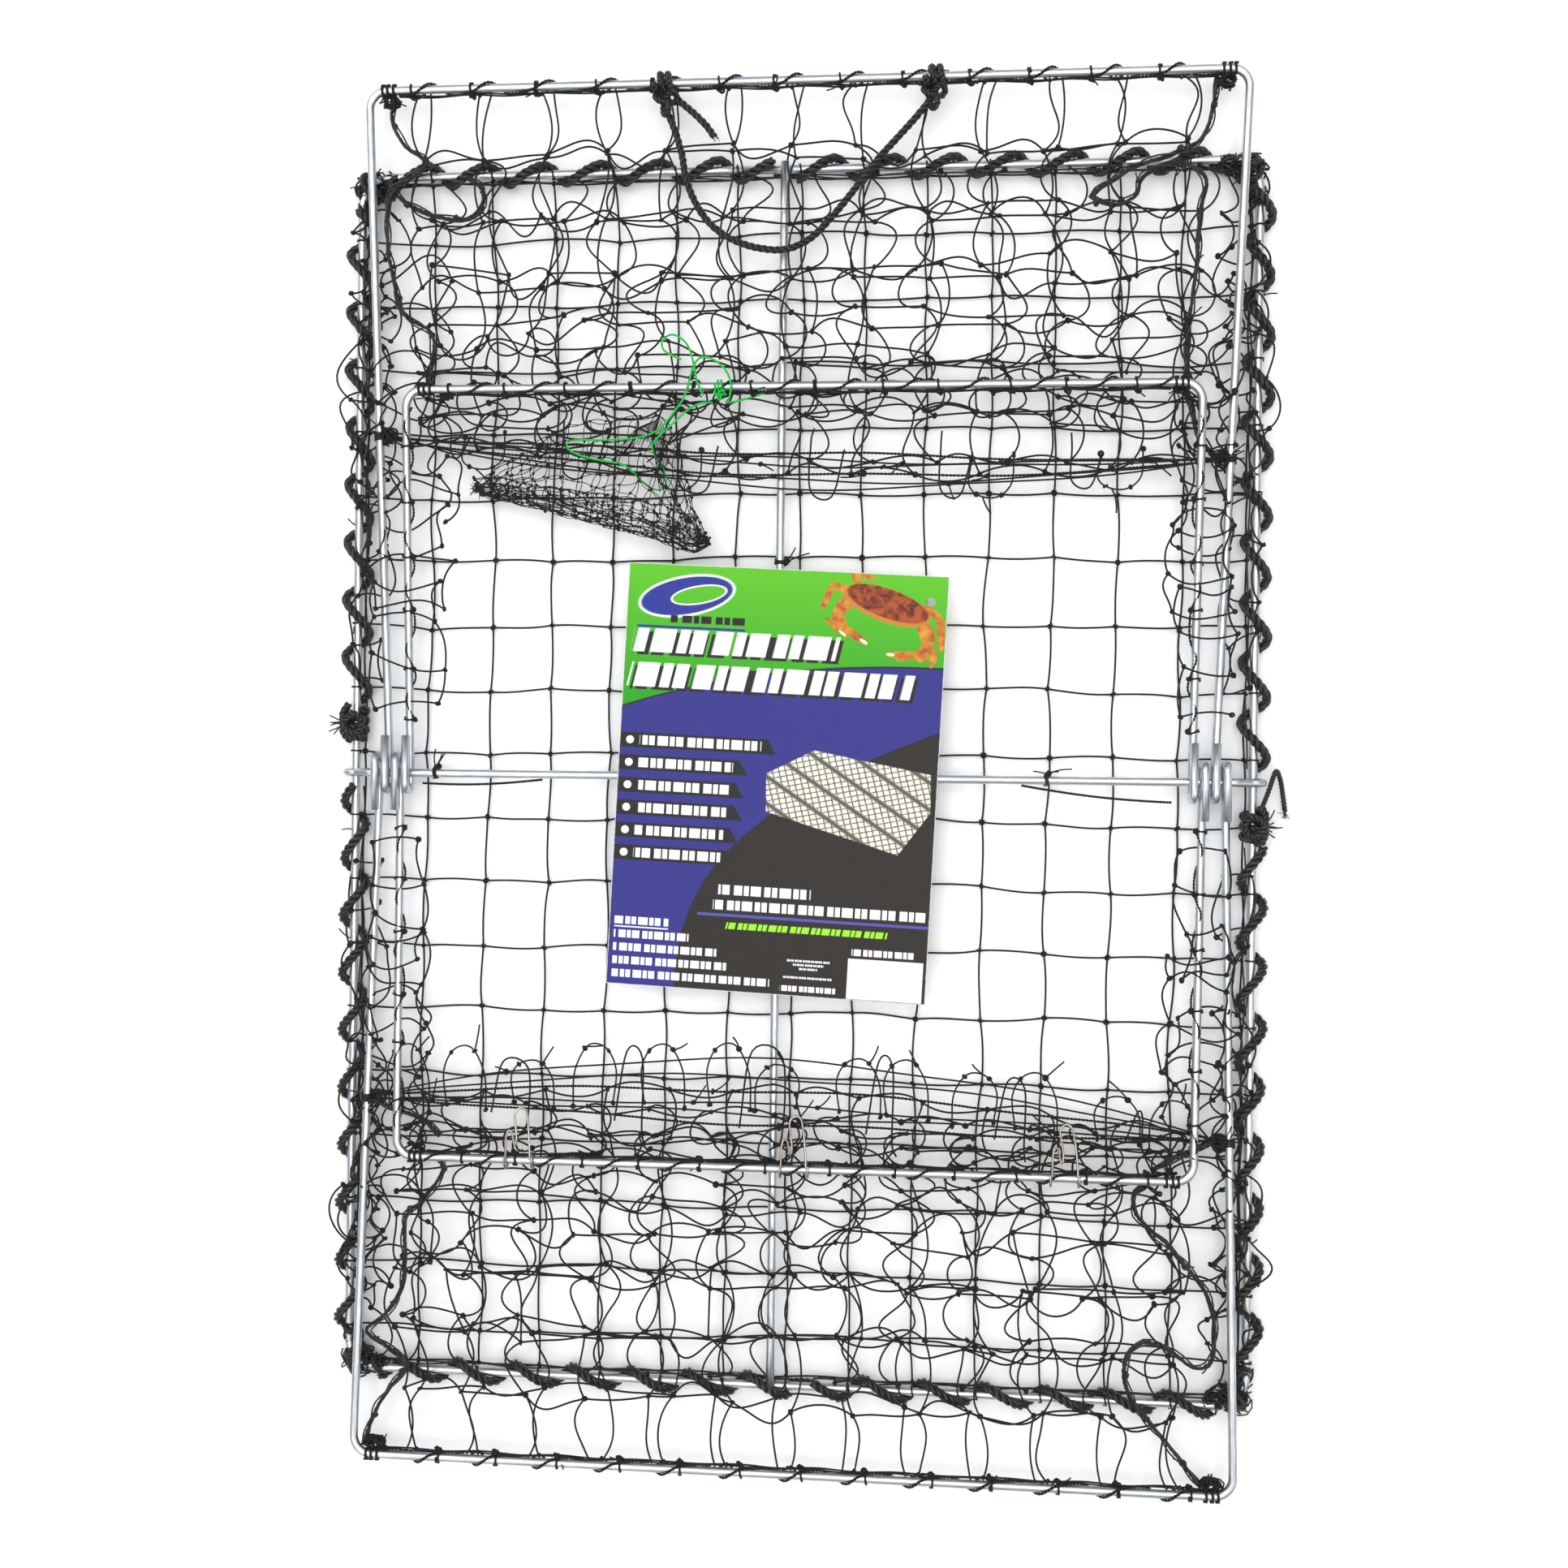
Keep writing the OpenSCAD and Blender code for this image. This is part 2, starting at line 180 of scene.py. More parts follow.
def cord_look(slot, dark, light, lay, rough=0.6, fibre=14.0, shine=0.3):
    """Twisted fibre: the plies' grooves, in bump and as painted shade, fine fibres along them and
    worn, dusty patches.
    """
    n = Nodes(slot)
    along, around = n.split(n.place(uv=True))
    ply = n.ramp(n.sine((along / lay + around) * (2 * TAU)), -1, 1)
    fibres = n.noise(n.place((0.35, fibre, 1), uv=True), 4.0, 4.0)
    patches = n.noise(n.place(), 70.0)
    tone = n.ramp(fibres, 0.3, 0.75) * n.ramp(patches, 0.3, 0.7, 0.35, 1.0)
    # painted light and shade: the plies' ridges take the lighter colour, their grooves the darker
    tone = n.math("MULTIPLY", tone, n.ramp(ply, 0.0, 0.8, 0.25, 1.0), clamp=True)
    n.bump(ply * 0.7 + fibres * 0.4, 0.00022, 0.8)
    return slot, n.finish(
        Base_Color=n.mix(tone, dark, light),
        Roughness=n.ramp(fibres, 0.2, 0.8, rough - 0.12, rough + 0.15),
        Specular_IOR_Level=shine,
        Sheen_Weight=0.06,
        Sheen_Roughness=0.4,
    )


def wire_look(slot, light, dark, rough, speck):
    """Zinc or steel wire: drawn streaks along it, dull patches, fine scratches and dark specks."""
    n = Nodes(slot)
    streaks = n.noise(n.place((0.03, 5.0, 1), uv=True), 3.0, 5.0, 0.65)
    patches = n.noise(n.place(), 28.0, 4.0)
    grains = n.noise(n.place(), 900.0, 2.0)
    specks = n.ramp(n.noise(n.place(), 420.0, 2.0), 0.66, 0.72)
    tone = n.ramp(streaks, 0.35, 0.65, 0, 0.6) + n.ramp(patches, 0.35, 0.7, 0, 0.4)
    tone = n.math("MAXIMUM", tone, specks * speck, clamp=True)
    n.bump(streaks * 0.6 + grains * 0.3, 0.0002, 0.5)
    return slot, n.finish(
        Base_Color=n.mix(tone, light, dark),
        Metallic=1.0,
        Roughness=n.ramp(tone, 0.0, 1.0, rough, rough + 0.22),
    )


# a look is the name of its slot and its material
ROPE_DARK, ROPE_LIGHT = (0.003, 0.0028, 0.0025), (0.046, 0.038, 0.031)
BLACK_TWINE = cord_look("netting_twine", (0.0035, 0.003, 0.0025), (0.030, 0.024, 0.018), 2.2)
BLACK_ROPE = cord_look("lashing_rope", ROPE_DARK, ROPE_LIGHT, 9.0, 0.36, 22.0, 0.42)
HANDLE_ROPE = cord_look("handle_rope", ROPE_DARK, ROPE_LIGHT, 7.0, 0.36, 20.0, 0.42)
BAG_TWINE = cord_look("bag_mesh", (0.005, 0.0045, 0.004), (0.035, 0.031, 0.028), 1.3, 0.65)
GREEN_CORD = cord_look("green_cord", (0.0, 0.42, 0.03), (0.004, 0.72, 0.10), 2.6, 0.45)
ZINC = wire_look("galvanised_wire", (0.74, 0.77, 0.79), (0.38, 0.42, 0.45), 0.25, 0.9)
STAINLESS = wire_look("clip_wire", (0.60, 0.54, 0.48), (0.26, 0.20, 0.16), 0.22, 0.6)


# ---- Mesh building ----


def unit(v):
    return v / np.maximum(np.linalg.norm(v, axis=-1, keepdims=True), 1e-12)


def xyz(*parts):
    """Points from their coordinates, which are numbers or arrays."""
    return np.stack(np.broadcast_arrays(*parts), -1)


def circle(count):
    return TAU * np.arange(count) / count


def carried(points):
    """Two side vectors across each line of points, carried along it without twist."""
    t = np.empty_like(points)
    t[:, 1:-1] = points[:, 2:] - points[:, :-2]
    t[:, 0] = points[:, 1] - points[:, 0]
    t[:, -1] = points[:, -1] - points[:, -2]
    t = unit(t)
    side = np.empty_like(points)
    side[:, 0] = unit(np.cross(t[:, 0], np.array([0.013, 0.021, 1.0])))
    for i in range(1, points.shape[1]):
        s = side[:, i - 1]
        side[:, i] = unit(s - np.sum(s * t[:, i], -1, keepdims=True) * t[:, i])
    return side, np.cross(t, side)


def torus(major, minor, around=8, sides=5):
    """Points, quads and their UVs."""
    a, b = circle(around), circle(sides)
    ring = major + minor * cos(b)
    v = xyz(np.outer(cos(a), ring), np.outer(sin(a), ring), minor * sin(b))
    i, j = np.meshgrid(np.arange(around), np.arange(sides), indexing="ij")
    corners = ((0, 0), (1, 0), (1, 1), (0, 1))
    quads = xyz(*((i + p) % around * sides + (j + q) % sides for p, q in corners))
    uv = np.stack([xyz((i + p) * TAU * major / around, (j + q) / sides) for p, q in corners], -2)
    return v.reshape(-1, 3), quads.reshape(-1, 4), uv.reshape(-1, 4, 2)


KNOT_TURN = torus(1.15, 0.68)
NO_TRIS = np.zeros((0, 3), int)


class Skein:
    """Collects tubes, ropes and knots, and makes them one mesh piece."""

    def __init__(self):
        self.verts, self.quads, self.quad_uv, self.tris = [], [], [], []
        self.count = 0

    def take(self, verts, quads, uv, tris=NO_TRIS):
        self.verts.append(verts)
        self.quads.append(quads + self.count)
        self.quad_uv.append(uv)
        self.tris.append(tris + self.count)
        self.count += len(verts)

    def tubes(self, points, r, sides=5):
        """Round tubes along lines of points, an array of lines x points x 3."""
        p = np.asarray(points, float)
        p = p[None] if p.ndim == 2 else p
        lines, n, _ = p.shape
        r = np.broadcast_to(np.asarray(r, float), (lines, n))[..., None, None]
        side, top = carried(p)
        a = circle(sides)[:, None]
        rings = p[:, :, None] + r * (cos(a) * side[:, :, None] + sin(a) * top[:, :, None])
        far = np.zeros((lines, n))
        far[:, 1:] = np.cumsum(np.linalg.norm(np.diff(p, axis=1), axis=-1), 1)
        m, i, k = np.meshgrid(*map(np.arange, (lines, n - 1, sides)), indexing="ij")
        corners = ((0, 0), (0, 1), (1, 1), (1, 0))
        quads = xyz(*((m * n + i + a) * sides + (k + b) % sides for a, b in corners))
        uv = np.stack([xyz(far[m, i + a], (k + b) / sides) for a, b in corners], -2)
        first = np.arange(lines)[:, None, None] * n * sides
        last = first + (n - 1) * sides
        fan = np.array([[0, q, q + 1] for q in range(1, sides - 1)])
        tris = np.concatenate([(first + fan[:, ::-1]).reshape(-1, 3), (last + fan).reshape(-1, 3)])
        self.take(rings.reshape(-1, 3), quads.reshape(-1, 4), uv.reshape(-1, 4, 2), tris)

    def knots(self, places, size):
        """Small tight knots, each two crossing turns of twine."""
        places = np.asarray(places, float).reshape(-1, 3)
        v, quads, uv = KNOT_TURN
        m = len(places)
        for _ in range(2):
            turns = random_turns(m)
            scale = size * RNG.uniform(0.85, 1.2, m)
            verts = np.einsum("mij,vj->mvi", turns, v) * scale[:, None, None] + places[:, None]
            q = quads[None] + (np.arange(m) * len(v))[:, None, None]
            self.take(verts.reshape(-1, 3), q.reshape(-1, 4), np.tile(uv, (m, 1, 1)))

    def laid(self, points, d, lay, strands=3, sides=7, step=1.3, thin=None):
        """A rope of laid strands along a smooth line. thin gives its width along the way."""
        p = even(points, step)
        side, top = (v[0] for v in carried(p[None]))
        far = np.linspace(0, length(p), len(p))
        share = 1 / (1 + 1 / math.sin(math.pi / strands)) if strands > 1 else 1.0
        r = d / 2 * share
        width = np.ones(len(p)) if thin is None else np.interp(far / far[-1], *thin)
        for k in range(strands):
            a = (TAU * (far / lay + k / strands))[:, None]
            line = p + (d / 2 - r) * width[:, None] * (cos(a) * side + sin(a) * top)
            self.tubes(line, r * (1.0 if strands > 2 else 1.04) * width, sides)

    def make(self, name, look, body=None, blend=None, nodes=None, end="rear"):
        """The piece rides on a body, or, given blend, on none. It stands for the CAD node
        of its own name where nodes doesn't say otherwise."""
        nodes = (name,) if nodes is None else nodes
        name = f"{name}_detail" if name in nodes else name
        slot, material = look
        v = flip(np.concatenate(self.verts), end) * MM
        quads, tris = np.concatenate(self.quads), np.concatenate(self.tris)
        sizes = np.r_[np.full(len(quads), 4), np.full(len(tris), 3)]
        uv = np.concatenate([np.concatenate(self.quad_uv).reshape(-1, 2), np.zeros((tris.size, 2))])
        mesh = bpy.data.meshes.new(name)
        mesh.vertices.add(len(v))
        mesh.loops.add(quads.size + tris.size)
        mesh.polygons.add(len(sizes))
        starts = np.concatenate([[0], np.cumsum(sizes)[:-1]])
        loops = np.concatenate([quads.ravel(), tris.ravel()])
        mesh.vertices.foreach_set("co", v.astype(np.float32).ravel())
        mesh.loops.foreach_set("vertex_index", loops.astype(np.int32))
        mesh.polygons.foreach_set("loop_start", starts.astype(np.int32))
        mesh.polygons.foreach_set("use_smooth", np.ones(len(sizes), bool))
        mesh.update(calc_edges=True)
        layer = mesh.uv_layers.new(name="UVMap")
        layer.data.foreach_set("uv", uv.astype(np.float32).ravel())
        mesh.validate()
        mesh.materials.append(material)
        piece = put(bpy.data.objects.new(name, mesh))
        if blend:
            a, b, start, stop = blend
            start * MM
            stop * MM
            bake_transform(piece)
        else:
            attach(piece, body)
        if nodes:
            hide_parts(*nodes)
        return piece


def random_turns(m):
    w, x, y, z = unit(RNG.normal(size=(m, 4))).T
    return xyz(
        1 - 2 * (y * y + z * z), 2 * (x * y - z * w), 2 * (x * z + y * w),
        2 * (x * y + z * w), 1 - 2 * (x * x + z * z), 2 * (y * z - x * w),
        2 * (x * z - y * w), 2 * (y * z + x * w), 1 - 2 * (x * x + y * y),
    ).reshape(m, 3, 3)


def length(points):
    return float(np.linalg.norm(np.diff(points, axis=0), axis=1).sum())


def smooth(points, fine=8):
    """A smooth line through the points."""
    p = np.asarray(points, float)
    p = np.vstack([2 * p[0] - p[1], p, 2 * p[-1] - p[-2]])
    t = (np.arange(fine) / fine)[:, None]
    out = [
        0.5 * (2 * b + (c - a) * t + (2 * a - 5 * b + 4 * c - d) * t**2
               + (3 * b - a - 3 * c + d) * t**3)
        for a, b, c, d in zip(p[:-3], p[1:-2], p[2:-1], p[3:], strict=True)
    ]
    return np.vstack([*out, p[-2]])


def even(points, step):
    """The same line with points at even distances."""
    p = np.asarray(points, float)
    far = np.r_[0, np.cumsum(np.linalg.norm(np.diff(p, axis=0), axis=1))]
    at = np.linspace(0, far[-1], max(3, round(far[-1] / step) + 1))
    return xyz(*(np.interp(at, far, p[:, k]) for k in range(3)))


def flip(points, end):
    """The rear half's points, turned round for the front half."""
    p = np.array(points, float)
    if end == "front":
        p[..., :2] *= -1
    return p


# ---- Carry handle and drawstring: the free cords ----

WIRE = 2.75  # the galvanised wire's radius
BAR_Z, OUTER, INNER = 28.0, 456.0, 256.0
HANDLE_Z = 25.9

HANDLE_ROUTE = [
    [-89, 449], [-88, 440], [-84, 430], [-80, 419], [-77, 408], [-75, 396], [-71, 384], [-64, 371],
    [-54, 360], [-41, 352], [-25, 347], [-8, 346], [7, 352], [19, 363], [31, 377], [42, 391],
    [53, 405], [64, 417], [75, 429], [84, 440], [89, 449],
]
TAIL_ROUTE = [[-82, 447], [-76, 442], [-69, 436], [-62, 429], [-56, 421]]
STRING_ROUTE = [
    [-46, 246, 26], [-43, 249, 31], [-42, 257, 34], [-46, 266, 33], [-54, 273, 31],
    [-62, 275, 30], [-67, 270, 30], [-69, 262, 32], [-71, 254, 33], [-74, 247, 31],
    [-79, 241, 28.5], [-84, 235, 27], [-90, 229, 26], [-98, 225, 25.6], [-108, 223, 25.4],
    [-120, 222, 25.3], [-132, 222, 25.3], [-143, 222, 25.3], [-151, 221, 25.2], [-152, 217, 24.8],
    [-146, 213, 24.3], [-136, 210, 24], [-125, 208, 23.8], [-115, 206, 23.5], [-108, 201, 23],
    [-102, 195, 22.3], [-95, 190, 21.7], [-88, 190, 21.7], [-86, 196, 22.4], [-88, 204, 23.3],
    [-93, 211, 24.1], [-95, 218, 24.9], [-91, 223, 27], [-84, 229, 28.5], [-77, 235, 29.5],
    [-70, 241, 30], [-62, 245, 29], [-55, 246, 26],
]
BOW_ROUTE = [
    [-60, 249, 34], [-64, 257, 34], [-66, 266, 33], [-68, 274, 31], [-71, 282, 29], [-76, 288, 27],
    [-83, 291, 26], [-89, 287, 26], [-88, 281, 26], [-82, 277, 27], [-76, 274, 28.5],
]
STRING_TAIL_ROUTE = [
    [-45, 246, 25], [-38, 247, 25.5], [-30, 249, 26], [-23, 251, 26], [-17, 253, 26],
]


def cut_end(skein, at, towards, r, count=9, long=5.0):
    """Loose fibres at a cut end."""
    towards = unit(np.asarray(towards, float))
    for _ in range(count):
        d = unit(towards + RNG.normal(0, 0.35, 3))
        e = unit(d + RNG.normal(0, 0.5, 3))
        a = np.asarray(at) + RNG.normal(0, r * 0.35, 3)
        far = long * RNG.uniform(0.5, 1.0)
        line = np.array([a, a + d * far * 0.5, a + d * far * 0.6 + e * far * 0.4])
        line[:, 2] = np.maximum(line[:, 2], 0.3)
        skein.tubes(line, [0.22, 0.18, 0.1], 4)


def free_cord(name, route, d, lay, look, body, fine, cut=False):
    path = smooth(route, fine)
    s = Skein()
    s.laid(path, d, lay, strands=3 if d > 3 else 1, step=1.2 if d > 3 else 0.7, sides=8)
    if cut:
        cut_end(s, path[-1], path[-1] - path[-2], d / 2)
    return s.make(name, look, body), path


def declare(cord):
    piece, path = cord
    path = even(path, 2.0) * MM


def tied_knot(name, look, body, turns, trefoil, d, lay, **rope):
    """Turns of cord round a bar, and the knot that ties it on itself."""
    s = Skein()
    x0, x1, y, r, start, count, n = turns
    t = np.linspace(0, 1, n)
    a = TAU * (start + count * t)
    s.laid(xyz(x0 + (x1 - x0) * t, y + r * cos(a), BAR_Z + r * sin(a)), d[0], lay, **rope)
    x, y, z, wide, long, tall, lobe, n = trefoil
    u = np.linspace(0, TAU, n)
    knot = xyz(
        x + wide * (sin(u) + lobe * sin(2 * u)),
        y + long * (cos(u) - lobe * cos(2 * u)),
        z - tall * sin(3 * u),
    )
    s.laid(knot, d[1], lay, **rope)
    return s.make(name, look, body)


HANDLE_D, STRING_D = 5.0, 1.3
HANDLE = {"d": HANDLE_D, "lay": 13.0, "look": HANDLE_ROPE, "body": "carry_handle", "fine": 8}
STRING = {"d": STRING_D, "lay": 2.8, "look": GREEN_CORD, "body": "rear_inner", "fine": 6}

handle = free_cord("handle_rope", [[x, y, HANDLE_Z] for x, y in HANDLE_ROUTE], **HANDLE)
tail = free_cord("handle_tail", [[x, y, HANDLE_Z] for x, y in TAIL_ROUTE], **HANDLE, cut=True)
handle_knots = tuple(
    tied_knot(
        f"handle_knot_{hand}", HANDLE_ROPE, "carry_handle",
        (x - 6.5, x + 6.5, OUTER, WIRE + 2.75, 0.30, 2.6, 60),
        (x + slack, OUTER - 12.0, HANDLE_Z + 2.2, 3.3, 3.6, 2.9, 1.35, 60),
        (5.2, 4.6), 9.0, sides=8,
    )
    for hand, x, slack in (("left", -89.0, 1.0), ("right", 89.0, -1.0))
)
declare(handle)
declare(tail)

string = free_cord("drawstring", STRING_ROUTE, **STRING)
bow = free_cord("drawstring_bow", BOW_ROUTE, **STRING)
string_tail, _ = free_cord("drawstring_tail", STRING_TAIL_ROUTE, **STRING)
string_knot = tied_knot(
    "drawstring_knot", GREEN_CORD, "rear_inner", (-53, -48, INNER, WIRE + 1.3, 0.2, 2.3, 50),
    (-50, INNER - 5.5, 30.5, 1.5, 1.5, 1.2, 1.5, 40), (1.35, 1.35), 2.8,
    strands=1, sides=8, step=0.6,
)
declare(string)
declare(bow)


# ---- Galvanised wire ----

RING_Z, LONG_Z, AXLE_Z = 10.427, 15.927, 21.427
RING_X, RING_Y = 298.75, 403.75
LONG_X = -10.0
EYE_Y, EYE_DROP = -11.5, 6.4  # the eyes' lower turns, from the axle


def bent(points, radii, step):
    """A wire along points, with a bend of its own radius at each."""
    p = [np.array(q, float) for q in points]
    out = [p[0]]
    for i in range(1, len(p) - 1):
        u, w = unit(p[i] - p[i - 1]), unit(p[i + 1] - p[i])
        turn = math.acos(max(-1, min(1, float(u @ w))))
        c = p[i] + unit(w - u) * radii[i] / math.cos(turn / 2)
        e = unit(p[i] - u * radii[i] * math.tan(turn / 2) - c)
        f = np.cross(unit(np.cross(u, w)), e)
        steps = math.ceil(math.degrees(turn) / step)
        for k in range(steps + 1):
            a = turn * k / steps
            out.append(c + radii[i] * (math.cos(a) * e + math.sin(a) * f))
    out.append(p[-1])
    return np.array(out)


def wire_piece(name, path, look=ZINC, r=WIRE, body="base", sides=20):
    s = Skein()
    s.tubes(path, r, sides)
    return s.make(name, look, body)


def fine_steps(path, step=30.0):
    """The path with points added along its straight stretches."""
    out = [path[0]]
    for a, b in zip(path[:-1], path[1:], strict=True):
        n = max(1, int(np.linalg.norm(b - a) // step))
        out += [a + (b - a) * k / n for k in range(1, n + 1)]
    return np.array(out)


def both_sides(right):
    """A path from its left end to its right one, given its right half."""
    return [[-x, y, z] for x, y, z in right[::-1]] + right


def bend_list(*radii):
    return [0, *radii, *radii[::-1], 0]


corners = ((-30, RING_Y), (-RING_X, RING_Y), (-RING_X, -RING_Y), (RING_X, -RING_Y),
           (RING_X, RING_Y), (-29.9, RING_Y))
ring = [[x, y, RING_Z] for x, y in corners]
wire_piece("base_ring", fine_steps(bent(ring, bend_list(20.0, 20.0), 6.0)))
long_bar = np.array([[LONG_X, way * (RING_Y + 3), LONG_Z] for way in (-1, 1)])
wire_piece("long_bar", fine_steps(long_bar))

HOOK = 2 * WIRE + 0.3
side = [
    [286, 0, AXLE_Z], [RING_X - 2, 0, RING_Z + HOOK], [RING_X + HOOK, 0, RING_Z + HOOK],
    [RING_X + HOOK, 0, RING_Z - 3],
]
wire_piece("axle_bar", fine_steps(bent(both_sides(side), bend_list(HOOK - 0.5, 5, 5), 9.0)))

EYES = {"rear_inner": 259.0, "front_inner": 266.0, "rear_outer": 273.0, "front_outer": 280.0}
HALF = {"inner": 261.6, "outer": 289.0}
REACH = {"inner": INNER, "outer": OUTER}
for body, eye in EYES.items():
    end, which = body.split("_")
    right = [
        [HALF[which], REACH[which], BAR_Z], [eye, EYE_Y, AXLE_Z - EYE_DROP],
        [eye, EYE_Y, AXLE_Z + EYE_DROP], [eye, 25, AXLE_Z + EYE_DROP],
    ]
    path = fine_steps(bent(both_sides(right), bend_list(5.5, 5.5, 12), 7.5))
    wire_piece(f"{body}_frame", flip(path, end), body=body)


# ---- Clips ----

CLIP_MIDDLE = (  # from the bar's top under the clip's middle
    (-9.0, 1, 0), (-8.9, 10, 0.4), (-8.6, 16, 0.3), (-7.6, 19.5, -0.2), (-6.2, 20.2, -0.6),
    (-4.9, 18.6, -0.9), (-4.2, 14, -1.4), (-3.3, 10.4, -1.6), (-2.2, 11.6, -1.0),
    (-2.0, 17, -1.2), (-3.2, 25, -2.6), (-3.9, 30, -4.4), (-2.2, 33.6, -5.4), (0.8, 34.6, -5.8),
    (3.6, 32.4, -5.2), (5.0, 27, -3.4), (6.2, 19, -1.6), (7.0, 10, -0.4), (7.5, 1, 0),
)
CLIP_R = 0.75


def clip_path(x):
    """A foot round the bar, a small hairpin, the arch, and a second foot."""
    y, z, r = -INNER, BAR_Z, WIRE + 2.55
    a = np.linspace(-2.2 * math.pi, 0.0, 34)
    left, right = (
        xyz(fx + way * 0.9 * a / TAU, y - r * sin(a), z + r * cos(a))
        for fx, way in ((x - 9.0, 1), (x + 7.5, -1))
    )
    middle = smooth(np.array(CLIP_MIDDLE) + [x, y, z + r], 6)
    return np.vstack([left[:-1], middle[1:-1], right[::-1][1:]])


for hand, x in (("left", -177.0), ("middle", 6.0), ("right", 181.0)):
    path = even(clip_path(x), 0.8)
    wire_piece(f"clip_{hand}", path, STAINLESS, CLIP_R, f"{hand}_clip", 12)


# ---- Lashing ropes on the base ring ----


def turn_about(least, most, n):
    """Part of a circle of radius one about a random axis, its angles and its axis."""
    axis = unit(RNG.normal(size=3))
    u = unit(np.cross(axis, [0.3, 0.2, 1.0]))
    a = np.linspace(0, RNG.uniform(least, most), n)[:, None]
    return cos(a) * u + sin(a) * np.cross(axis, u), a, axis


def lump(skein, at, size, count, r=0.62, loops=3, rope=2.4):
    """A bunched seizing: short curved strands wound tight round a point."""
    at, size = np.array(at, float), np.array(size, float)
    for _ in range(count):
        line, a, axis = turn_about(2.2, 5.5, 12)
        swell = RNG.uniform(0.45, 1.0) * (1 + 0.12 * sin(3 * a + RNG.uniform(0, 6)))
        line = line * swell + axis * RNG.uniform(-0.5, 0.5)
        skein.tubes(at + line * size, r * RNG.uniform(0.8, 1.3))
    for _ in range(loops):
        line, _, _ = turn_about(4.0, 6.5, 26)
        skein.laid(at + line * RNG.uniform(0.55, 0.8) * size, 2 * rope, 8.0, sides=6)


def whiskers(skein, at, count, long, r=0.5, flat=0.35, aim=None):
    """Short cut ends of twine."""
    s = np.linspace(0, 1, 6)[:, None]
    for _ in range(count):
        d = RNG.normal(size=3) if aim is None else np.array(aim, float) + RNG.normal(0, 0.5, 3)
        d[2] = abs(d[2]) * flat
        d = unit(d)
        bend = np.cross(d, [0, 0, 1]) * RNG.uniform(-0.4, 0.4)
        far = long * RNG.uniform(0.5, 1.15)
        skein.tubes(np.asarray(at, float) + d * far * s + bend * far * s * s, r)


ROPE_D = 6.4
LACING_LAY, KNOT_LAY = 15.5, 11.0
LACING_STOP = 22.0  # how far from the ring's corners the lacing stops
EDGE_R, TIE_R = 0.6, 0.62  # radii of a single twine, along an edge and in a tie


def lacing(skein, a, b, pitch, hand, start, push, wide=1.0):
    """Rope laid round a straight wire from a to b, slower over the top than underneath."""
    a, b, v = (np.array(q, float) for q in (a, b, (0, 0, -1)))
    u = unit(b - a)
    w = np.cross(u, v) * hand * wide
    far = np.linalg.norm(b - a)
    s = np.linspace(0, far, max(8, int(far / 1.6)))
    t = start + TAU * s / pitch
    t = t + push * sin(t)
    uneven = 1 + 0.05 * sin(s / 31.0 + start) + 0.03 * sin(s / 11.0)
    r = (WIRE + ROPE_D / 2) * uneven
    line = a + np.outer(s, u) + (r * cos(t))[:, None] * v + (r * sin(t))[:, None] * w
    skein.laid(line, ROPE_D, LACING_LAY, sides=8)


def side_lashing(hand, s, knot_y):
    skein = Skein()
    end = RING_Y - LACING_STOP
    stops = (-9.0, knot_y + 14) if knot_y > 0 else (knot_y - 14, 9.0)
    for a, b, way in ((-end, stops[0], 1), (stops[1], end, -1)):
        rail = [[s * RING_X, y, RING_Z] for y in (a, b)]
        lacing(skein, *rail, 39.0, way, 0.3 * s, 0.3, 1.3)
        # the netting's own edge twine, drawn along inside the rope
        y = np.linspace(a, b, int((b - a) / 6))
        x = s * (RING_X - 4.6 + 0.9 * sin(y / 13.0))
        skein.tubes(xyz(x, y, RING_Z - 2.0 + 1.8 * cos(y / 11.0)), EDGE_R)
        for y in np.arange(a + 10, b - 5, 37.0):
            if RNG.random() < 0.35:
                at = [s * (RING_X + 2.4), y, RING_Z + 1.6]
                whiskers(skein, at, 1, 9, aim=(s, 0.6, 0.4))
    skein.make(f"lashing_{hand}", BLACK_ROPE, "base")


def end_lashing(end):
    skein = Skein()
    end_x = RING_X - LACING_STOP
    for a, b in ((-end_x, LONG_X - 8), (LONG_X + 8, end_x)):
        rail = [[x, RING_Y, RING_Z] for x in (a, b)]
        lacing(skein, *rail, 39.5, -1 if end == "rear" else 1, 0.9, 0.4)
        x = np.linspace(a, b, int((b - a) / 6))
        for k in range(2):
            y = RING_Y - 4.4 + 0.8 * sin(x / 12 + 2 * k) - k
            skein.tubes(xyz(x, y, RING_Z - 1 + 1.6 * cos(x / 10)), EDGE_R)
    low = [
        [LONG_X - 8, RING_Y, RING_Z - 6.2], [LONG_X, RING_Y - 0.5, RING_Z - 6.6],
        [LONG_X + 8, RING_Y, RING_Z - 6.2],
    ]
    skein.laid(smooth(low), 6.2, KNOT_LAY)
    skein.make(f"lashing_{end}", BLACK_ROPE, "base", end=end)


RAIL_KNOTS = {"left": (-1, 33.0), "right": (1, -28.0)}  # each side rail's knot: way and y
for hand, (sx, knot_y) in RAIL_KNOTS.items():
    side_lashing(hand, sx, knot_y)
end_lashing("rear")
end_lashing("front")

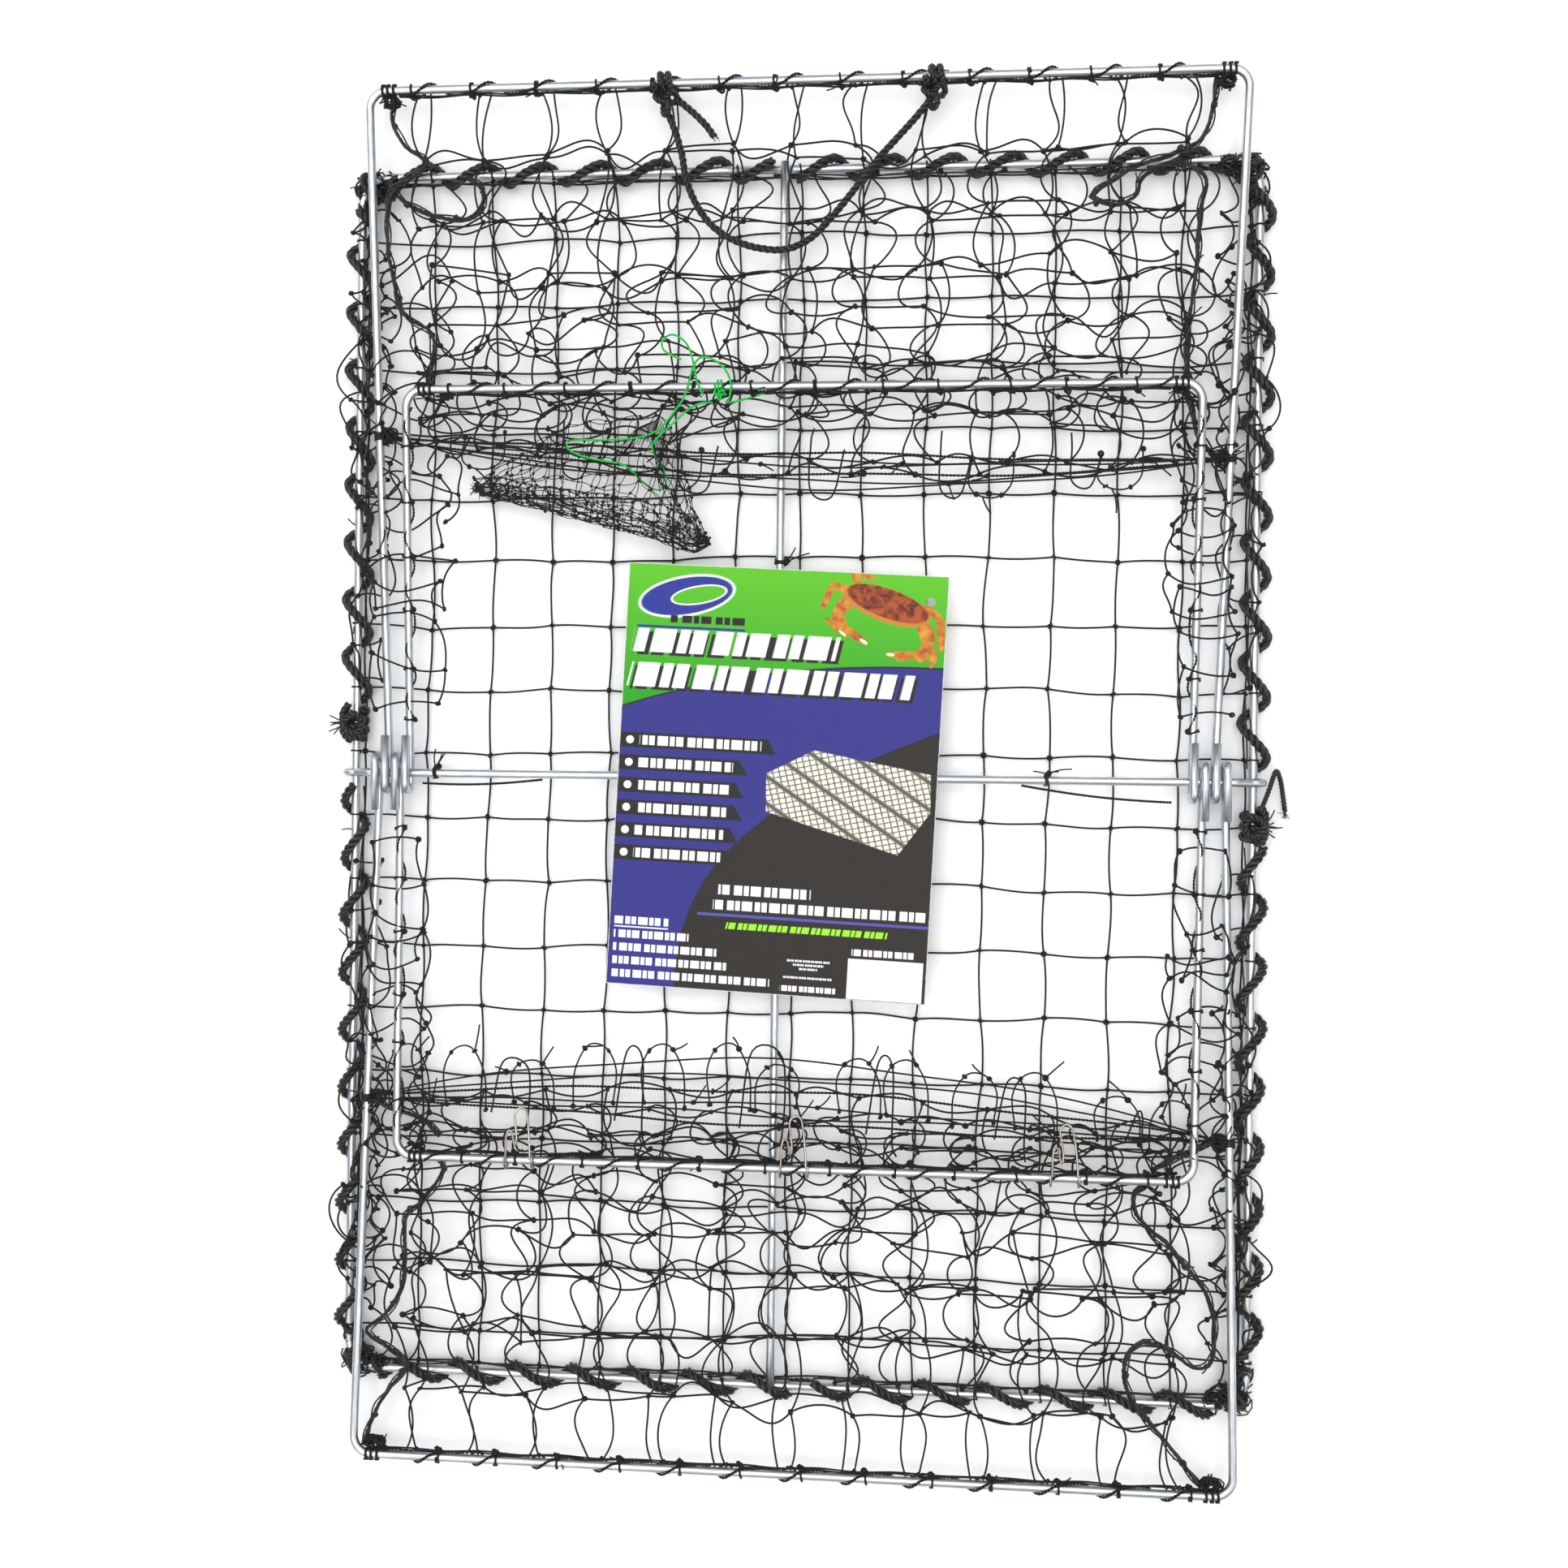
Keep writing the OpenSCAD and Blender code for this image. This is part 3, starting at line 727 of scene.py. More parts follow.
seizings = Skein()
for sx in (-1, 1):
    for sy in (-1, 1):
        at = [sx * (RING_X - 7), sy * (RING_Y - 6), RING_Z + 0.5]
        lump(seizings, at, (11.5, 11.5, 8.5), 34, loops=4)
        for in_x, in_y, size in ((20, 2.5, (7, 7.5, 7)), (2.5, 22, (7.5, 8, 7))):
            beside = [sx * (RING_X - in_x), sy * (RING_Y - in_y), RING_Z + 0.5]
            lump(seizings, beside, size, 12, loops=1)
        whiskers(seizings, at, 7, 17, aim=(-sx * 0.6, -sy, 0.5))
        whiskers(seizings, at, 3, 13, aim=(sx, -sy * 0.3, 0.5))
seizings.make("corner_seizings", BLACK_ROPE, "base")

KNOT_OVER = [
    [2, -12, 5], [6.5, -6, 7.5], [5, 2, 9.0], [-2, 6, 9.4], [-6, 1, 8.0], [-3, -6, 8.2],
    [4, -4, 9.6], [7, 6, 7.5], [4, 13, 5],
]
FREE_END = [
    [6, 14, 4], [10, 24, 2], [13, 33, 1], [15, 36, -1], [18, 30, -4], [20, 20, -6],
    [21.5, 10, -6.6],
]
knots = Skein()
for sx, knot_y in RAIL_KNOTS.values():
    at = np.array([sx * RING_X, knot_y, RING_Z])
    t = np.linspace(0, 1, 70)
    a = TAU * 3.1 * t
    r = WIRE + ROPE_D / 2
    knots.laid(at + xyz(r * cos(a), -10 + 20 * t, r * sin(a)), ROPE_D, KNOT_LAY)
    knots.laid(smooth(at + np.array(KNOT_OVER) * [sx, 1, 1]), 5.6, 10.0)
    whiskers(knots, at + [sx * 6, 0, 3], 6, 12, aim=(sx, -0.4, 0.3))
free = smooth(at + np.array(FREE_END))  # on the right rail
knots.laid(free, 3.6, 7.0)
cut_end(knots, free[-1], free[-1] - free[-2], 1.8, 14, 8.0)
knots.make("rail_knots", BLACK_ROPE, "base")


# ---- Twine on the bars, and ties ----


def wraps(skein, at, along, turns, r=0.6):
    """Tight turns of twine round a wire at a point."""
    at, u = np.array(at, float), unit(np.array(along, float))
    v = unit(np.cross(u, [0.0, 0.0, 1.0]))
    w = np.cross(u, v)
    a = np.linspace(0, TAU * turns, int(14 * turns) + 2)[:, None]
    s = (a / TAU - turns / 2) * 1.35
    skein.tubes(at + s * u + (WIRE + r) * (cos(a) * v + sin(a) * w), r, 6)


def twine(skein, line, d, lay, step=0.8, sides=6):
    """A double twine."""
    skein.laid(line, d, lay, strands=2, sides=sides, step=step)


def arm_twine(skein, eye, half, reach):
    """Hitches along the arms, with the twine that runs between them."""
    for sx in (-1, 1):
        low = np.array([sx * eye, EYE_Y, AXLE_Z - EYE_DROP])
        arm = np.array([sx * half, reach, BAR_Z]) - low
        line = []
        for yk in np.arange(34, reach - 22, 37):
            at = low + arm * (yk + RNG.uniform(-5, 5) - EYE_Y) / (reach - EYE_Y)
            wraps(skein, at, unit(arm) + RNG.normal(0, 0.12, 3), 1.6, 0.68)
            skein.knots([at + [-sx * 3.7, 0, 0.5]], 1.15)
            middle = at + [sx * RNG.uniform(0, 2.6), 13, 3.6]
            line += [at + [-sx * 3.6, 0, 1], middle, at + [-sx * 3.6, 26, 1]]
        twine(skein, smooth(line, 5), 1.7, 4.5, 0.9)


def bar_twine(end, which):
    body = f"{end}_{which}"
    half, y = HALF[which] - 20.0, REACH[which]
    skein = Skein()
    pitch = 41.0
    x = np.linspace(-half, half, int(2 * half / 1.2))
    t = TAU * x / pitch
    t = math.pi + t + 0.62 * sin(t) + 0.25 * sin(x / 37.0)
    r = WIRE + 0.95
    twine(skein, xyz(x, y - r * cos(t), BAR_Z + r * sin(t)), 2.1, 5.0)
    # the twine that runs along the inner edge, and its half hitches
    for k in range(2):
        x = np.linspace(-half, half, int(2 * half / 5))
        inside = y - WIRE - 0.9 - 0.5 * k + 0.5 * sin(x / 9.0 + k)
        skein.tubes(xyz(x, inside, BAR_Z - 0.6 - 1.1 * k + 0.5 * cos(x / 7.0)), EDGE_R)
    for x in np.arange(-half + 9, half - 4, pitch):
        x = x + RNG.uniform(-3, 3)
        wraps(skein, [x, y, BAR_Z], (1, 0.08 * RNG.normal(), 0), 1.3 + RNG.random() * 0.6, 0.72)
        hitch = [x, y - WIRE - 1.5, BAR_Z - 0.5], [x + 1.6, y - WIRE - 2.3, BAR_Z - 1.2]
        skein.knots(hitch, 1.15)
        if RNG.random() < 0.6:
            aim = (RNG.choice([-1, 1]), RNG.uniform(-1, 0.6), 0.3)
            whiskers(skein, [x, y - WIRE - 1, BAR_Z], 1, 9, aim=aim)
    for sx in (-1, 1):
        for out in (3, 7, 10.5):
            wraps(skein, [sx * (half + out), y, BAR_Z], (1, 0, 0), 1.6, 0.8)
        if which == "outer":
            lump(skein, [sx * (half + 6), y - 6, BAR_Z - 3], (8, 6, 4), 16, loops=1, rope=1.3)
        at = [sx * (half + 4), y - 4, BAR_Z - 1]
        whiskers(skein, at, 3, 10, aim=(-sx * 0.3, -1, 0.2))
    if which == "inner":
        arm_twine(skein, EYES[body], HALF[which], REACH[which])
    skein.make(f"{body}_twine", BLACK_TWINE, body, end=end)


for end in ("rear", "front"):
    for which in ("outer", "inner"):
        bar_twine(end, which)

ties = Skein()
for x in (-240.0, 166.0):
    wraps(ties, [x, 0, AXLE_Z], (1, 0.1, 0), 2.6, TIE_R)
    ties.knots([[x, 3.8, AXLE_Z - 1], [x + 1.5, 4.6, AXLE_Z - 2]], 1.2)
    whiskers(ties, [x, 4, AXLE_Z], 3, 14, aim=(0.4, 1, 0.2))
wraps(ties, [LONG_X, 142.0, LONG_Z], (0.1, 1, 0), 2.6, TIE_R)
ties.knots([[LONG_X + 3.8, 142, LONG_Z], [LONG_X + 4.6, 143.5, LONG_Z - 1]], 1.2)
whiskers(ties, [LONG_X + 4, 142, LONG_Z], 2, 16, aim=(0.7, 1, 0.2))
for x0, x1, y1 in ((150.0, 246.0, -13.0), (-168.0, -250.0, -6.5)):
    s = np.linspace(0, 1, 14)
    y = -3.5 + (y1 + 3.5) * s - 2 * sin(3 * s)
    twine(ties, xyz(x0 + (x1 - x0) * s, y, AXLE_Z - 4), 1.9, 4.0)
ties.make("bar_ties", BLACK_TWINE, "base")


# ---- Netting ----

HALF_TURN = np.linspace(0.02, 2.6, 240)
SLACK = HALF_TURN / sin(HALF_TURN)  # an arc's length over its chord


def slack_lines(a, b, long, way, skew, n):
    """Arcs in the plane from a to b, each as long as its own twine, and a little uneven."""
    d = b - a
    near = np.linalg.norm(d, axis=-1)
    u = d / np.maximum(near, 1e-6)[:, None]
    v = xyz(-u[:, 1], u[:, 0])
    half = np.interp(long / near, SLACK, HALF_TURN)[:, None]
    s = np.linspace(-1, 1, n)[None]
    r = near[:, None] / (2 * sin(half))
    along = r * sin(half * s)
    out = way[:, None] * r * (cos(half * s) - cos(half))
    out = out + (skew * long)[:, None] * sin(math.pi * s)
    return (a + b)[:, None] / 2 + along[..., None] * u[:, None] + out[..., None] * v[:, None]


def spans(x, y, axis):
    """How far apart neighbouring knots lie along an axis of the arrays."""
    return np.hypot(np.diff(x, axis=axis), np.diff(y, axis=axis))


NET_R, NET_KNOT = 0.68, 1.1


def net(skein, x, y, z, row_long, column_long, r=NET_R, skew=0.07, knot=NET_KNOT,
        bump=0.7, n=15, ends=(True, True), miss=0.0, odd=0.25):
    """Square-mesh netting whose knots lie at x, y, z, arrays of rows x columns. Twines are as
    long as row_long and column_long say, so they curve where their knots lie closer than that."""
    rows, columns = x.shape
    i, j = np.meshgrid(np.arange(rows), np.arange(columns), indexing="ij")
    at = i * columns + j
    along = np.ones(x[:, :-1].shape, bool)
    along[0], along[-1] = ends
    chess = np.where((i + j) % 2, 1.0, -1.0)
    pairs = np.concatenate([
        xyz(at[:, :-1][along], at[:, 1:][along]), xyz(at[:-1].ravel(), at[1:].ravel()),
    ])
    long = np.concatenate([
        np.broadcast_to(row_long, along.shape)[along],
        np.broadcast_to(column_long, x[:-1].shape).ravel(),
    ])
    way = np.concatenate([chess[:, :-1][along], -chess[:-1].ravel()])
    keep = RNG.random(len(pairs)) >= miss
    pairs, long, way = pairs[keep], long[keep], way[keep]
    way = np.where(RNG.random(len(way)) < odd, -way, way)
    p, height = xyz(x.ravel(), y.ravel()), z.ravel()
    a, b = p[pairs[:, 0]], p[pairs[:, 1]]
    near = np.linalg.norm(b - a, axis=1)
    long = np.maximum(long, near * 1.0004)
    loose = np.clip((long / near - 1.0) * 8.0, 0.15, 1.0)
    plane = slack_lines(a, b, long, way, skew * loose * RNG.normal(size=len(pairs)), n)
    s = np.linspace(0, 1, n)
    up = np.outer(height[pairs[:, 0]], 1 - s) + np.outer(height[pairs[:, 1]], s)
    up += np.outer(RNG.normal(0, bump, len(pairs)), sin(math.pi * s))
    skein.tubes(np.concatenate([plane, up[..., None]], -1), r)
    shown = slice(0 if ends[0] else 1, rows if ends[1] else rows - 1)
    skein.knots(xyz(x[shown], y[shown], z[shown]), knot)


MESH_X, MESH_Y = 41.8, 43.3
COLUMNS = MESH_X * np.arange(-6, 7)
FIRST_ROW = 14.6  # y of the first row behind the axle
EDGE_IN = 5.5  # how far inside the ring's wire the netting's edge lies


def base_netting():
    s = Skein()
    edge_x, edge_y = RING_X - EDGE_IN, RING_Y - EDGE_IN
    x = np.r_[-edge_x, COLUMNS, edge_x]
    y = np.r_[-edge_y, FIRST_ROW + MESH_Y * np.arange(-9, 9), edge_y]
    xx, yy = np.meshgrid(x, y)
    inner = np.zeros_like(xx)
    inner[1:-1, 1:-1] = 1
    xx = xx + inner * (RNG.normal(0, 0.9, xx.shape) + 1.5 * sin(yy / 150.0))
    yy = yy + inner * (RNG.normal(0, 0.9, xx.shape) + 1.4 * sin(xx / 90.0 + 1))
    edge = np.minimum(np.minimum(RING_X - abs(xx), RING_Y - abs(yy)) / 45.0, 1.0)
    zz = np.where(inner > 0, 5.4 - 2.0 * edge, 8.4) + RNG.normal(0, 0.15, xx.shape)
    near = spans(xx, yy, 1), spans(xx, yy, 0)
    row, column = (far * RNG.uniform(1.0004, 1.002, far.shape) for far in near)
    net(s, xx, yy, zz, row, column, skew=0.02, bump=0.25, n=9)
    for sx in (-1, 1):
        for yk in y[1:-1]:
            wraps(s, [sx * RING_X, yk, RING_Z], (0.1, 1, 0), 1.3)
    for sy in (-1, 1):
        for xk in x[1:-1]:
            wraps(s, [xk, sy * RING_Y, RING_Z], (1, 0.1, 0), 1.3)
    s.make("base_netting", BLACK_TWINE, "base")


base_netting()

SLIT = {  # ends of the slit's lips, and how far each of their cords sags towards the axle
    "rear": ((-277.0, 226.0), (274.0, 208.0), (3, 8, 12, 17, 22, 27)),
    "front": ((-279.0, 231.0), (284.0, 219.0), (-5, 2, 9, 17, 27, 39)),
}


def slit_y(end, x, sag):
    (x0, y0), (x1, y1), _ = SLIT[end]
    s = np.clip((x - x0) / (x1 - x0), 0, 1)
    return y0 + (y1 - y0) * s - sag * sin(math.pi * s) ** 0.8


def rows_of(end, reach, lean, wave, shift, last_sag=None, tangle=((0, 1), (1, 1))):
    """Where the knots lie of netting whose rows run across at the given y, more or less."""
    xx, yy = np.meshgrid(COLUMNS + shift, np.array(reach, float))
    k = np.arange(len(reach))[:, None]
    amount = sin(math.pi * np.clip(k / (len(reach) - 1), 0, 1))
    phase = RNG.uniform(0, 6, len(reach))[:, None]
    yy = yy + wave * sin(xx / 62.0 + phase) * np.minimum(k, 1)
    amount = amount * np.interp(xx, *tangle)
    yy = yy + RNG.normal(0, 2.2, xx.shape) * amount
    sway = 3.5 * sin(yy / 30.0 + xx / 100.0 + phase) * amount
    xx = xx + lean * np.minimum(amount, 1) + sway
    xx = xx + RNG.normal(0, 3.0, xx.shape) * amount
    if last_sag is not None:
        yy[-1] = slit_y(end, xx[-1], last_sag)
    return xx, yy


# y where the netting passes from one body to the next, given in blend, which bends nothing
LOWER_BEND, TOP_BEND = (404, 205), (415, 246)


def end_netting(end):
    outer, inner = f"{end}_outer", f"{end}_inner"
    rear = end == "rear"
    sign = 1 if rear else -1
    # the entrance's lower panel, from the base ring to the slit
    s = Skein()
    sags = SLIT[end][2]
    xx, yy = rows_of(end, (399.5, 367, 332, 299, 268, 241, 222), -2, 3.0, 9.0, sags[1])
    zz = np.interp(yy, (215, 300, 372, 398), (19.3, 19.0, 18.3, 12.5))
    zz = zz + RNG.normal(0, 0.3, xx.shape)
    net(s, xx, yy, zz, 43.0, 43.0, bump=0.6, ends=(False, True))
    for xk in xx[0]:
        s.knots([[xk, 399.5, 12.0]], NET_KNOT)
    blend = ("base", outer, *(sign * y for y in LOWER_BEND))
    s.make(f"{end}_funnel_lower", BLACK_TWINE, blend=blend, end=end)
    # its upper panel, from the slit to the outer bar, in the plane of the outer frame
    s = Skein()
    xx, yy = rows_of(end, (454, 413, 370, 327, 284, 241, 222), 2, 3.5, -5.0, sags[3])
    zz = np.interp(yy, (215, 430, 452), (21.3, 21.3, 25.6)) + RNG.normal(0, 0.35, xx.shape)
    column = spans(xx, yy, 0) * RNG.uniform(1.015, 1.075, (6, 13))
    net(s, xx, yy, zz, 43.2, column, skew=0.085, ends=(False, True))
    for xk in xx[0]:
        link = [
            [xk - 4, 453.5, 26.6], [xk - 1.2, 452.3, 26.2], [xk, 451, 25.6],
            [xk + 1.5, 452.4, 26.2], [xk + 5, 453.5, 26.8],
        ]
        s.tubes(smooth(link, 3), EDGE_R)
    s.make(f"{end}_funnel_upper", BLACK_TWINE, outer, end=end)
    # the top, from the outer bar to the inner bar, with most of its slack near the inner bar
    s = Skein()
    tangle = ((-250, 0, 120), (2.6, 1.3, 0.9)) if rear else ((-250, 0, 250), (1.5, 1.0, 1.7))
    lean, wave = (-7, 4.5) if rear else (4, 3.0)
    reach = (454, 410, 371, 335, 303, 276, 254, 237, 251)
    xx, yy = rows_of(end, reach, lean, wave, 3.0, tangle=tangle)
    droop = np.interp(xx[-2], (-250, 0), (2.0, 0.8))
    yy[-2] -= np.abs(RNG.normal(0, 5.0, yy[-2].shape)) * droop
    zz = np.interp(yy, (240, 275, 430, 452), (24.0, 22.9, 22.9, 25.3))
    zz = zz + RNG.normal(0, 0.35, xx.shape)
    column = spans(xx, yy, 0)
    column = np.minimum(np.maximum(43.0, column * 1.01), column * 2.6)
    net(s, xx, yy, zz, 43.4, column, ends=(False, True), n=19)
    blend = (outer, inner, *(sign * y for y in TOP_BEND))
    s.make(f"{end}_top_netting", BLACK_TWINE, blend=blend, end=end)


end_netting("rear")
end_netting("front")


def slit_cords(end):
    (x0, _), (x1, _), sags = SLIT[end]
    outer = f"{end}_outer"
    s = Skein()
    x = np.linspace(x0, x1, 90)
    t = (x - x0) / (x1 - x0)
    for k, sag in enumerate(sags):
        wavy = 1.6 * sin(x / 33.0 + 2.1 * k) * sin(math.pi * t)
        y = slit_y(end, x, sag) + wavy + 0.8 * (k % 3 - 1)
        cord = xyz(x, y, 20.6 + 0.55 * (k % 3) + 0.3 * sin(x / 21.0 + k))
        if k in (0, 3):
            twine(s, cord, 1.9, 5.0, 1.2, 5)
        else:
            s.tubes(cord, TIE_R)
        at = np.arange(6 + 11 * k, 88, 13)
        for i in at[RNG.random(len(at)) < 0.4]:
            s.knots([cord[i]], NET_KNOT)
            whiskers(s, cord[i], 1, 15, 0.55, aim=(RNG.choice([-1, 1]) * 0.9, -0.7, 0.2))
    # short twines that cross the lips
    for xk in (COLUMNS + 12)[::2]:
        ya, yb = slit_y(end, xk, sags[0]) + 6, slit_y(end, xk, sags[-1]) - 1
        dx = RNG.uniform(-9, 9)
        cross = [
            [xk, ya + 10, 21.0], [xk + dx, ya, 21.4], [xk + dx, yb, 21.6],
            [xk + 12, yb - 4, 21.4], [xk + 20, ya - 4, 21.0],
        ]
        s.tubes(smooth(cross, 6), 0.66)
    front = end == "front"
    for xk in COLUMNS if front else COLUMNS[[1, 4, 9, 11]]:
        xk = xk + RNG.uniform(-8, 8)
        base = slit_y(end, xk, sags[3])
        tall = RNG.uniform(18, 34) if front else RNG.uniform(8, 16)
        way = RNG.choice([-1, 1])
        arch = [
            [xk - 14 * way, base + 12, 21.2], [xk - 13 * way, base - tall * 0.4, 21.8],
            [xk - 4 * way, base - tall, 22.2], [xk + 8 * way, base - tall * 0.95, 22.2],
            [xk + 15 * way, base - tall * 0.45, 21.8], [xk + 13 * way, base + 9, 21.2],
        ]
        arch = smooth(arch, 5)
        s.tubes(arch, EDGE_R)
        s.knots([arch[0], arch[9], arch[16], arch[-1]], NET_KNOT)
        whiskers(s, arch[9 if way > 0 else 14], 1, 17, 0.6, aim=(-way * 0.7, -0.9, 0.1))
    s.make(f"{end}_slit_cord", BLACK_TWINE, outer, end=end)
    # the turns that hold the lips to the outer arms
    s = Skein()
    eye = EYES[outer]
    arm = np.array([HALF["outer"] - eye, OUTER - EYE_Y, BAR_Z - AXLE_Z + EYE_DROP])
    for sx, (_, y) in zip((-1, 1), SLIT[end][:2], strict=True):
        u = arm * [sx, 1, 1]
        at = np.array([sx * eye, EYE_Y, AXLE_Z - EYE_DROP]) + u * (y - EYE_Y) / (OUTER - EYE_Y)
        wraps(s, at, u, 4.6, TIE_R)
        lump(s, at + [-sx * 5.5, 0, 0.6], (7, 6, 3.2), 16, loops=1, rope=1.2)
        aim = (sx * 0.8, RNG.uniform(-1, 1), 0.3)
        whiskers(s, at + [-sx * 3, 0, 1], 4, 14, aim=aim)
    s.make(f"{end}_slit_ties", BLACK_TWINE, outer, end=end)


slit_cords("rear")
slit_cords("front")


# ---- Side netting and gathered cords ----


def side_band(name, end, left, a, b, start, stop, across, height, nodes):
    """A gathered band of side netting along the arms, its height going from start to stop. Bodies a
    and b are not used.
    """
    s = Skein()
    low, high = min(start, stop), max(start, stop)
    rows = max(3, round((high - low) / 27.0) + 1)
    xx, yy = np.meshgrid(np.array(across, float), np.linspace(low, high, rows))
    inside = np.ones_like(xx)
    inside[0] = inside[-1] = 0.35
    xx = xx + RNG.normal(0, 4.0, xx.shape) * inside
    yy = yy + RNG.normal(0, 5.0, xx.shape) * inside
    w = np.clip((yy - start) / (stop - start), 0, 1)
    zz = height[0] + (height[1] - height[0]) * w + RNG.normal(0, 0.7, xx.shape)
    # drawn tight near the axle, slack towards the ends
    loose = 1.015 + 0.22 * np.clip((yy - 70) / 250, 0, 1) ** 1.3
    row, column = spans(xx, yy, 1) * loose[:, 1:], spans(xx, yy, 0) * loose[1:]
    net(s, xx, yy, zz, row, column, bump=0.9, miss=0.04, odd=0.5)
    sign = 1 if end == "rear" else -1
    # the half turn at the front swaps left and right; a mirrored mesh has its faces turned back
    mirror = sign * (-1 if left else 1)
    for v in s.verts:
        v[:, 0] *= mirror
    if mirror < 0:
        for faces in (s.quads, s.quad_uv, s.tris):
            faces[:] = [f[:, ::-1] for f in faces]
    blend = (a, b, sign * start, sign * stop)
    s.make(name, BLACK_TWINE, blend=blend, nodes=nodes, end=end)


SIDE_BANDS = ((60, 180), (310, 180), (200, 345), (396, 290))  # from the ring to the outer arm
GUSSET_BANDS = ((45, 125), (215, 110), (150, 250), (330, 251))  # and on to the inner arm
for end in ("rear", "front"):
    outer, inner = f"{end}_outer", f"{end}_inner"
    for hand in ("left", "right"):
        reach = 238 if (end, hand) == ("rear", "left") else 250
        for kind, a, b, bands, low_x, step, high_x, height in (
            ("side_netting", "base", outer, SIDE_BANDS, 279, 3, 297, (13.0, 21.0)),
            ("gusset", outer, inner, GUSSET_BANDS, reach, 5, 282, (20.5, 25.0)),
        ):
            node = f"{end}_{hand}_{kind}"
            for k, (start, stop) in enumerate(bands):
                side_band(
                    f"{node}_{k + 1}", end, hand == "left", a, b, start, stop,
                    (low_x - step * (k % 2), high_x), height, () if k else (node,),
                )


def gathered(name, points, body=None, z=23.6, d=2.8):
    """Netting gathered and twisted into a cord. Without a body it rides on none."""
    s = Skein()
    line = smooth([[x, y, z + 1.3 * math.sin(1.7 * i)] for i, (x, y) in enumerate(points)])
    thin = ([0, 0.15, 0.3, 0.5, 0.7, 0.85, 1], [1.1, 0.8, 1.15, 0.85, 1.1, 0.8, 1.1])
    s.laid(line, d, 12.0, sides=6, thin=thin)
    line = even(line, 5.0)
    side, top = (v[0] for v in carried(line[None]))
    far = np.arange(len(line))[:, None] * 5.0
    for k in range(3):
        a = far / 9.0 + 2 * k
        out = 1.7 + 0.9 * sin(far / 17.0 + 2 * k)
        s.tubes(line + out * (cos(a) * side + sin(a) * top), EDGE_R)
    for i in range(4, len(line) - 2, 7):
        s.knots([line[i] + RNG.normal(0, 1.2, 3)], 1.3)
        if RNG.random() < 0.5:
            whiskers(s, line[i], 1, 9)
    end, sign = ("rear", 1) if points[0][1] > 0 else ("front", -1)
    blend = (f"{end}_outer", f"{end}_inner", *(sign * y for y in TOP_BEND))
    s.make(name, BLACK_ROPE, body, None if body else blend, ())


gathered(
    "rear_left_edge_cord",
    [(-274, 453), (-274, 436), (-265, 420), (-250, 409), (-262, 398), (-275, 388), (-277, 355),
     (-274, 338), (-265, 308), (-246, 295), (-245, 278), (-248, 259)],
)
gathered(
    "rear_left_corner_loop",
    [(-278, 398), (-268, 385), (-248, 375), (-225, 372), (-214, 378), (-213, 391), (-224, 400)],
    "base", 19.5, 3.2,
)
gathered(
    "rear_right_edge_cord",
    [(269, 452), (264, 423), (256, 410), (238, 403), (218, 396), (203, 387), (190, 378),
     (204, 372), (218, 377), (223, 390), (244, 398), (262, 388), (259, 366), (257, 330),
     (253, 293), (252, 259)],
)
SLIT_EDGE = (21.6, 3.6)  # height and thickness
gathered("rear_right_slit_edge", [(252, 252), (256, 236), (260, 222), (270, 209)],
         "rear_outer", *SLIT_EDGE)
gathered(
    "front_left_edge_cord",
    [(-284, -452), (-274, -426), (-265, -412), (-254, -396), (-268, -385), (-282, -375),
     (-272, -366), (-261, -352), (-256, -330), (-256, -298), (-245, -287), (-231, -266),
     (-235, -257)],
)
gathered("front_left_slit_edge", [(-283, -219), (-268, -225), (-247, -232), (-234, -243)],
         "front_outer", *SLIT_EDGE)
gathered(
    "front_right_edge_cord",
    [(269, -452), (256, -435), (243, -420), (228, -403), (220, -385), (222, -369), (232, -361),
     (248, -365), (263, -375), (274, -372), (277, -351), (272, -330), (262, -315), (247, -298),
     (237, -290), (226, -278), (225, -266), (233, -258)],
)
gathered("front_right_slit_edge", [(276, -230), (262, -236), (248, -243), (236, -251)],
         "front_outer", *SLIT_EDGE)


# ---- Bait bag ----

BAG_TOP = (
    (-213, 192), (-190, 209), (-153, 231), (-120, 235), (-90, 238), (-80, 220), (-70, 188),
    (-60, 160),
)
BAG_FOLD = (
    (-214, 197), (-198, 197), (-174, 192), (-135, 186), (-97, 180), (-80, 176), (-68, 168),
    (-58, 156),
)
BAG_LOW = (
    (-209, 186), (-195, 183), (-174, 178), (-135, 168), (-97, 159), (-80, 153), (-66, 148),
    (-57, 153),
)
BAG_R = 0.3


